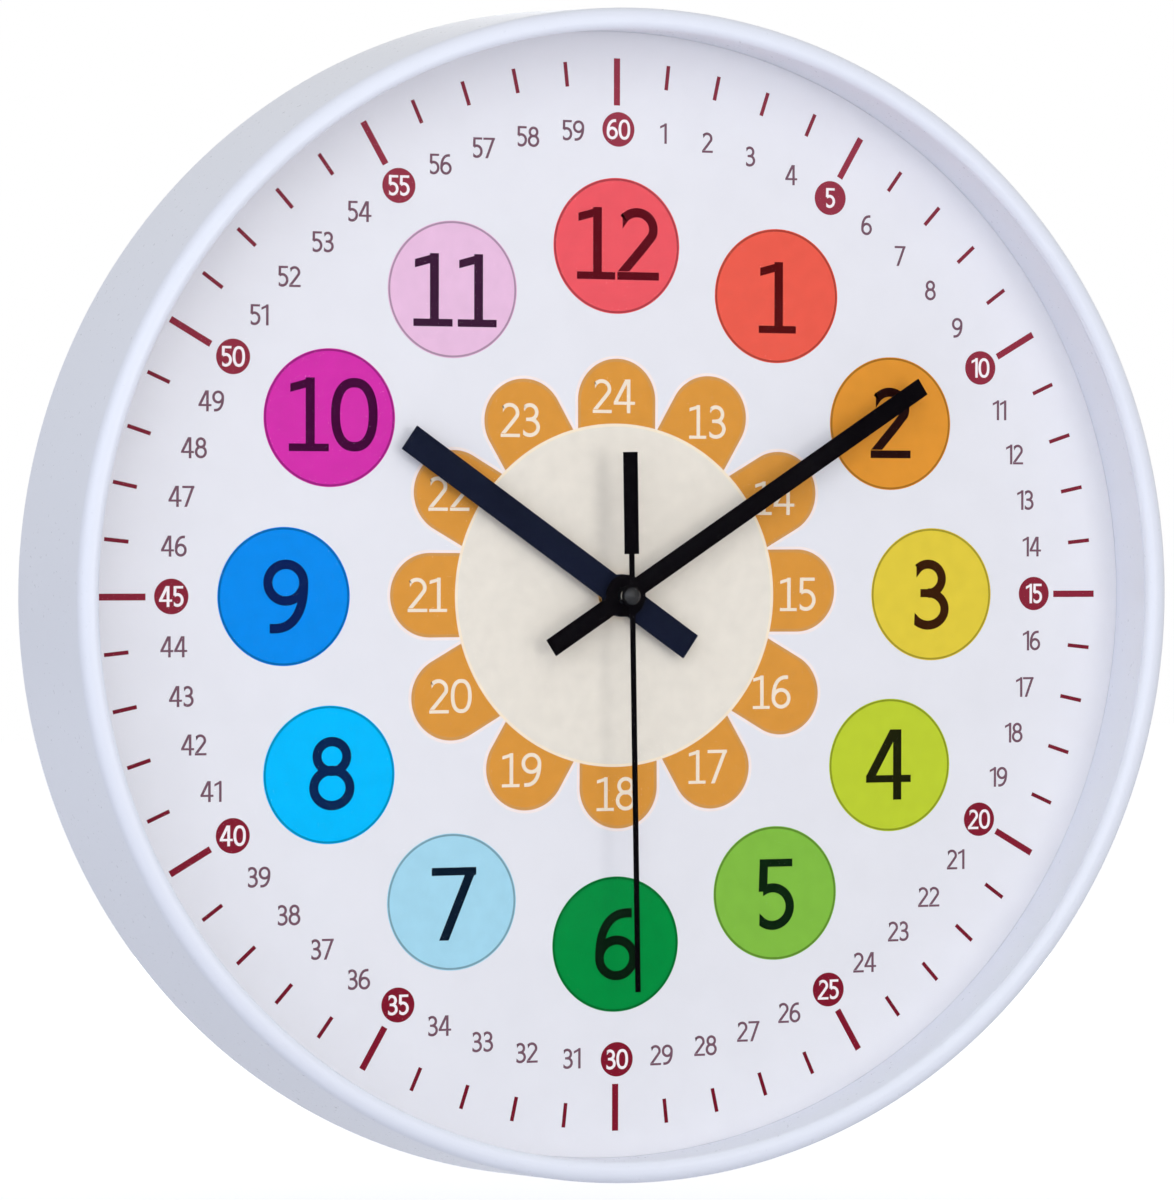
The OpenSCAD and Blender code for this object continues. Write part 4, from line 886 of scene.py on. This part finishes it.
class CLOCK_OT_petals(bpy.types.Operator):
    """Prints the orange petals and the numerals 13 to 24"""

    bl_idname = "clock.petals"
    bl_label = "24-hour petals"

    def execute(self, context):
        sizes, inks = context.scene.clock_sizes, context.scene.clock_inks
        half, line = sizes.petal_base / 2, sizes.petal_line
        foot = math.sqrt(sizes.cream_disc**2 - half**2) - sizes.petal_lap
        petals, lines, numbers = [], [], []
        for step in range(12):
            reach = sizes.petal_tip + (sizes.petal_tip_more if step % 3 else 0)
            end = bow((0, reach - sizes.petal_end), (sizes.petal_end, sizes.petal_end), 0, 180, 44)
            outline = np.vstack([[(half, foot)], end, [(-half, foot)]])
            placed = turned(outline, 30 * step) + PETAL_PLACES[step]
            # Every other petal lies a little higher, so that no two faces share a plane
            top = INK_HEIGHT + PETAL_STEP * (step % 2)
            petals.append((inks.petal, [slab(placed, INK_FOOT, top)]))
            # The print leaves a browner line along a petal's edge and a pale one just outside it
            edges = ((inks.petal_edge, 0.5, EDGE_RISE), (inks.petal_pale, -0.5, EDGE_RISE - HAIR))
            for colour, inwards, rise in edges:
                # Half a line's width inwards or outwards, but with the ends still at the petal's foot
                across = (half - inwards * line) / half
                run = outline * (across, 1) - (0, inwards * line) * (outline[:, 1:] > foot + 1)
                path = turned(run, 30 * step) + PETAL_PLACES[step]
                lines.append((colour, [ribbon(path, line, INK_FOOT, top + rise)]))
            centre = clockwise(30 * step, sizes.petal_numerals) + PETAL_NUMERAL_PLACES[step]
            strokes = numeral(
                str(12 + step if step else 24), centre, sizes.petal_height, sizes.petal_stroke, INK_HEIGHT,
                gap=0.55, narrow=0.97,
            )
            numbers.append((inks.petal_numeral, strokes))
        ink = screen_ink("petal_screen_ink")
        dial_piece("petals", petals, ink)
        rim = circle(sizes.cream_disc + line / 2, 192)
        lines.append((inks.cream_edge, [ribbon(rim, line, INK_FOOT, CREAM_HEIGHT - HAIR, closed=True)]))
        dial_piece("petal_lines", lines, ink)
        dial_piece("petal_numerals", numbers, ink)
        return {"FINISHED"}


class CLOCK_OT_minutes(bpy.types.Operator):
    """Prints the minute ticks, the red dots and the minute numerals"""

    bl_idname = "clock.minutes"
    bl_label = "Minute track"

    def execute(self, context):
        sizes, inks = context.scene.clock_sizes, context.scene.clock_inks
        top, low = np.array(inks.red_top), np.array(inks.red_low)
        ticks, dots, whites, numbers = [], [], [], []
        for minute in range(1, 61):
            five = minute % 5 == 0
            # The red grows paler towards the top
            height = (1 + math.cos(math.radians(6 * minute))) / 2
            red = low + (top - low) * height**1.5
            kind = "long" if five else "short"
            inner, outer = getattr(sizes, kind + "_tick_from"), getattr(sizes, kind + "_tick_to")
            half = getattr(sizes, kind + "_tick_width") / 2
            tick = [(half, inner), (half, outer), (-half, outer), (-half, inner)]
            # The short ticks are printed darker
            colour = red if five else red * 0.8
            ticks.append((colour, [slab(turned(tick, 6 * minute), INK_FOOT, INK_HEIGHT)]))
            centre = clockwise(6 * minute, sizes.minute_ring) + MINUTE_PLACE
            if five:
                dots.append((red, [slab(circle(sizes.minute_dot, 48, centre), INK_FOOT, INK_HEIGHT)]))
                strokes = numeral(
                    str(minute), centre, sizes.dot_height, sizes.dot_stroke, INK_HEIGHT,
                    gap=0.2, narrow=0.93, footed=False,
                )
                whites.append((inks.dot_numeral, strokes))
            else:
                strokes = numeral(
                    str(minute), centre, sizes.minute_height, sizes.minute_stroke, MINUTE_INK,
                    gap=0.2, narrow=0.92, footed=False,
                )
                numbers.append((inks.minute, strokes))
        ink = screen_ink("minute_screen_ink")
        dial_piece("minute_ticks", ticks, ink)
        dial_piece("minute_dots", dots, ink)
        dial_piece("dot_numerals", whites, ink)
        dial_piece("minute_numerals", numbers, ink)
        return {"FINISHED"}


class CLOCK_OT_hands(bpy.types.Operator):
    """Finishes the hands and their collets"""

    bl_idname = "clock.hands"
    bl_label = "Hands"

    def execute(self, context):
        finishes = context.scene.clock_finishes
        paint = painted_aluminium("satin_black_painted_aluminium", finishes.hand_black)
        finish_nodes(paint, "minute_hand", "second_hand")
        # The hour hand's black holds a painted navy sheen: a bluish reflection painted into its colour
        navy_sheen = painted_aluminium("satin_navy_black_painted_aluminium", finishes.hour_hand_black)
        finish_nodes(navy_sheen, "hour_hand")
        # Polished black ABS: small hubs whose edges catch the light
        hub = moulded_plastic("glossy_black_abs", finishes.collet_black, 0.2, 0.8, 0.004, specular=0.3)
        finish_nodes(hub, "hour_collet", "minute_collet", "second_hand_bush")
        return {"FINISHED"}


class CLOCK_OT_hardware(bpy.types.Operator):
    """Finishes the bush, washer, nut, gasket, screws and contacts"""

    bl_idname = "clock.hardware"
    bl_label = "Hardware"

    def execute(self, context):
        finishes = context.scene.clock_finishes
        axis = (DIAL_X, 0.0, DIAL_Z)
        # Turned brass: tool rings 0.25 mm apart about the shaft
        brass = worked_metal("turned_brass", finishes.brass, 0.28, 0.25, 0.006, rings_at=axis)
        # Nickel over spring steel strip: rolled grain along the strip
        nickel = worked_metal("nickel_plated_steel", finishes.nickel, 0.26, 0.5, 0.004, stretch=(0.15, 1, 1))
        # Bright zinc plate: cloudy, slightly dull
        zinc = worked_metal("zinc_plated_steel", finishes.zinc, 0.36, 0.6, 0.006)
        finish_nodes(brass, "threaded_bush", "flat_washer", "hex_nut")
        finish_nodes(nickel, "contact_positive", "contact_negative", "quartz_crystal")
        finish_nodes(zinc, "dial_screws")
        # Moulded rubber: dull, with a fine tooth
        rubber = moulded_plastic("moulded_rubber", finishes.rubber, 0.75, 0.4, 0.02, tone=0.15)
        finish_nodes(rubber, "rubber_gasket")
        return {"FINISHED"}


class CLOCK_OT_movement(bpy.types.Operator):
    """Finishes the quartz movement, its gears, motor, board and cell"""

    bl_idname = "clock.movement"
    bl_label = "Movement"

    def execute(self, context):
        finishes = context.scene.clock_finishes
        black = finishes.movement_black
        # Black polystyrene from a spark-eroded mould: dull, with a grain of about 0.35 mm
        housing = moulded_plastic("sparked_black_polystyrene", black, 0.5, 0.35, 0.03, tone=0.12)
        # Natural acetal: milky, light enters a little
        acetal = moulded_plastic("natural_acetal", finishes.gear_ivory, 0.35, 0.8, 0.004, tone=0.03, glow=0.3)
        # ABS: a little duller than the case
        knob = moulded_plastic("grey_abs", finishes.knob_grey, 0.42, 0.5, 0.012, tone=0.05)
        finish_nodes(housing, "back_housing", "front_housing", "hanger")
        finish_nodes(
            acetal, "middle_plate", "coil_bobbin", "rotor_pinion", "intermediate_wheel", "seconds_wheel",
            "third_wheel", "centre_wheel", "minute_tube", "minute_wheel", "hour_wheel",
        )
        finish_nodes(knob, "setting_knob")
        finish_nodes(cell_jacket("printed_cell_sleeve", finishes), "aa_cell")
        finish_nodes(solder_mask("green_solder_mask", finishes.board), "circuit_board")
        # A drop of black epoxy over the chip: smooth with slow waves
        epoxy = moulded_plastic("black_epoxy", shade(black, 0.7), 0.25, 2.5, 0.05)
        finish_nodes(epoxy, "chip_cap")
        # Soft iron, stamped and annealed: grey with a rolled grain
        iron = worked_metal("annealed_soft_iron", finishes.iron, 0.42, 0.5, 0.006, stretch=(0.2, 1, 1))
        finish_nodes(iron, "stator", "coil_core")
        finish_nodes(wound_wire("enamelled_copper_wire", finishes.copper), "coil_winding")
        # Bonded ferrite: dull grey with coarse grit
        magnet = moulded_plastic("bonded_ferrite", finishes.magnet, 0.55, 0.3, 0.02, tone=0.2)
        finish_nodes(magnet, "rotor_magnet")
        # Drawn and polished steel wire, with its grain along the arbor
        steel = worked_metal("polished_steel", finishes.steel, 0.18, 0.3, 0.002, stretch=(1, 0.1, 1))
        finish_nodes(steel, "seconds_arbor")
        return {"FINISHED"}


class CLOCK_OT_studio(bpy.types.Operator):
    """Sets the floor, the lamps, the background and the camera"""

    bl_idname = "clock.studio"
    bl_label = "Studio"

    def execute(self, context):
        studio = context.scene.clock_studio
        self.floor(context)
        self.world(context, studio)
        self.lamps(context, studio)
        self.camera(context, studio)
        return {"FINISHED"}

    def seen(self, tree):
        """One where a ray shows the surface to the eye: straight, mirrored or through glass."""
        path = add_node(tree, "ShaderNodeLightPath").outputs
        first = worked_out(tree, "MAXIMUM", path["Is Camera Ray"], path["Is Glossy Ray"])
        return worked_out(tree, "MAXIMUM", first, path["Is Transmission Ray"])

    def floor(self, context, reach=4, drop=0.06):
        """A pale floor a hand's breadth under the clock, which hangs."""
        steps = np.linspace(-reach, reach, 9)
        across, deep = np.meshgrid(steps, steps)
        points = np.column_stack([across.ravel(), deep.ravel(), np.full(across.size, CAD_BOX[0][2] - drop)])
        here = np.arange(across.size).reshape(across.shape)
        faces = np.stack([here[:-1, :-1], here[:-1, 1:], here[1:, 1:], here[1:, :-1]], -1).reshape(-1, 4)
        mesh = bpy.data.meshes.new("studio_floor")
        mesh.from_pydata(points.tolist(), [], faces.tolist())
        floor = bpy.data.objects.new("studio_floor", mesh)
        context.scene.collection.objects.link(floor)
        material, tree, place = start_material("pale_studio_floor")
        pale = opaque(linear("#E5E7EE"))
        matt = add_node(tree, "ShaderNodeBsdfDiffuse", {"Color": pale, "Roughness": 0.5})
        # Less glow near the clock, where the lamps reach, so that the whole floor is equally pale
        # and the shadow stays
        away = add_node(tree, "ShaderNodeVectorMath", {0: place}, operation="LENGTH").outputs["Value"]
        inputs = {"Value": away, "From Min": 0.3, "From Max": 0.75, "To Min": 0.42, "To Max": 0.66}
        level = add_node(tree, "ShaderNodeMapRange", inputs).outputs[0]
        glow = worked_out(tree, "MULTIPLY", self.seen(tree), level)
        light = add_node(tree, "ShaderNodeEmission", {"Strength": glow})
        end_material(tree, add_node(tree, "ShaderNodeAddShader", {0: matt, 1: light}))
        mesh.materials.append(material)

    def world(self, context, studio):
        """White to the eye, and plain even light on the object."""
        world = bpy.data.worlds.new("studio")
        world.use_nodes = True
        tree = world.node_tree
        tree.nodes.clear()
        white = opaque(linear("#FFFFFF"))
        light = add_node(tree, "ShaderNodeBackground", {"Color": white, "Strength": studio.ambient})
        shown = add_node(tree, "ShaderNodeBackground", {"Color": white, "Strength": 1.0})
        both = add_node(tree, "ShaderNodeMixShader", {0: self.seen(tree), 1: light, 2: shown})
        add_node(tree, "ShaderNodeOutputWorld", {"Surface": both})
        context.scene.world = world

    def lamps(self, context, studio):
        """A broad lamp above in front, a broad cool one at the left, a small one at the right, and
        one behind. The camera doesn't see the lamps themselves."""
        # Name, place, width in metres, power and colour
        rows = (
            ("top_lamp", (-0.11, -1.05, 0.42), 1.2, studio.top_power, "#FFFFFF"),
            ("left_lamp", (-0.85, -0.88, 0.19), 1.35, studio.left_power, "#E4ECFF"),
            ("right_lamp", (0.36, -1.22, -0.02), 0.45, studio.right_power, "#FFFFFF"),
            ("back_lamp", (0.45, 1.3, -0.06), 1.0, studio.back_power, "#FFFFFF"),
        )
        aim = np.array([DIAL_X, PAPER_FACE, DIAL_Z])
        for name, place, size, power, colour in rows:
            lamp = bpy.data.lights.new(name, "AREA")
            lamp.color = linear(colour)
            lamp.shape = "DISK"
            lamp.size = size
            lamp.energy = power
            holder = bpy.data.objects.new(name, lamp)
            holder.matrix_world = facing(np.array(place), aim, 0.0)
            holder.visible_camera = False
            context.scene.collection.objects.link(holder)

    def camera(self, context, studio):
        """The photograph's own camera: a long lens from a little to the left."""
        side, rise = studio.azimuth, studio.elevation
        back = np.array([math.sin(side) * math.cos(rise), -math.cos(side) * math.cos(rise), math.sin(rise)])
        aim = np.array([DIAL_X + studio.aim_x * MM, PAPER_FACE, DIAL_Z + studio.aim_z * MM])
        data = bpy.data.cameras.new("camera")
        data.sensor_width = 36
        data.lens = studio.lens_mm
        data.clip_end = 50
        camera = bpy.data.objects.new("camera", data)
        camera.matrix_world = facing(aim + back * studio.distance, aim, studio.roll)
        context.scene.collection.objects.link(camera)
        context.scene.camera = camera


def facing(place, aim, roll):
    """The placing of a lamp or camera that looks from one point to another, turned about its view."""
    back = (place - aim) / np.linalg.norm(place - aim)
    right = np.cross((0, 0, 1), back)
    right /= np.linalg.norm(right)
    up = np.cross(back, right)
    cos, sin = math.cos(roll), math.sin(roll)
    right, up = cos * right + sin * up, cos * up - sin * right
    rows = np.eye(4)
    rows[:3, 0], rows[:3, 1], rows[:3, 2], rows[:3, 3] = right, up, back, place
    return Matrix(rows.tolist())


OPERATORS = (
    CLOCK_OT_case,
    CLOCK_OT_card,
    CLOCK_OT_hours,
    CLOCK_OT_petals,
    CLOCK_OT_minutes,
    CLOCK_OT_hands,
    CLOCK_OT_hardware,
    CLOCK_OT_movement,
    CLOCK_OT_studio,
)
GROUPS = {
    "clock_sizes": ClockSizes,
    "clock_inks": ClockInks,
    "clock_finishes": ClockFinishes,
    "clock_studio": ClockStudio,
}


class CLOCK_PT_panel(bpy.types.Panel):
    """The clock's sizes, colours and steps"""

    bl_label = "Teaching wall clock"
    bl_idname = "CLOCK_PT_panel"
    bl_space_type = "VIEW_3D"
    bl_region_type = "UI"
    bl_category = "Wall clock"

    def draw(self, context):
        for operator in OPERATORS:
            self.layout.operator(operator.bl_idname)
        for key, group in GROUPS.items():
            box = self.layout.box()
            box.label(text=group.__doc__.split(",")[0].rstrip("."))
            for name in group.__annotations__:
                box.prop(getattr(context.scene, key), name)


def register():
    for group in GROUPS.values():
        bpy.utils.register_class(group)
    for key, group in GROUPS.items():
        setattr(bpy.types.Scene, key, bpy.props.PointerProperty(type=group))
    for operator in OPERATORS:
        bpy.utils.register_class(operator)
    bpy.utils.register_class(CLOCK_PT_panel)


def unregister():
    bpy.utils.unregister_class(CLOCK_PT_panel)
    for operator in reversed(OPERATORS):
        bpy.utils.unregister_class(operator)
    for key in GROUPS:
        delattr(bpy.types.Scene, key)
    for group in GROUPS.values():
        bpy.utils.unregister_class(group)


def main():
    """Finishes the clock and sets up the studio, step by step."""
    register()
    bpy.context.scene.view_settings.view_transform = "Standard"
    bpy.ops.clock.case()
    bpy.ops.clock.card()
    bpy.ops.clock.hours()
    bpy.ops.clock.petals()
    bpy.ops.clock.minutes()
    bpy.ops.clock.hands()
    bpy.ops.clock.hardware()
    bpy.ops.clock.movement()
    bpy.ops.clock.studio()
    bpy.context.view_layer.update()


if __name__ == "__main__":
    main()
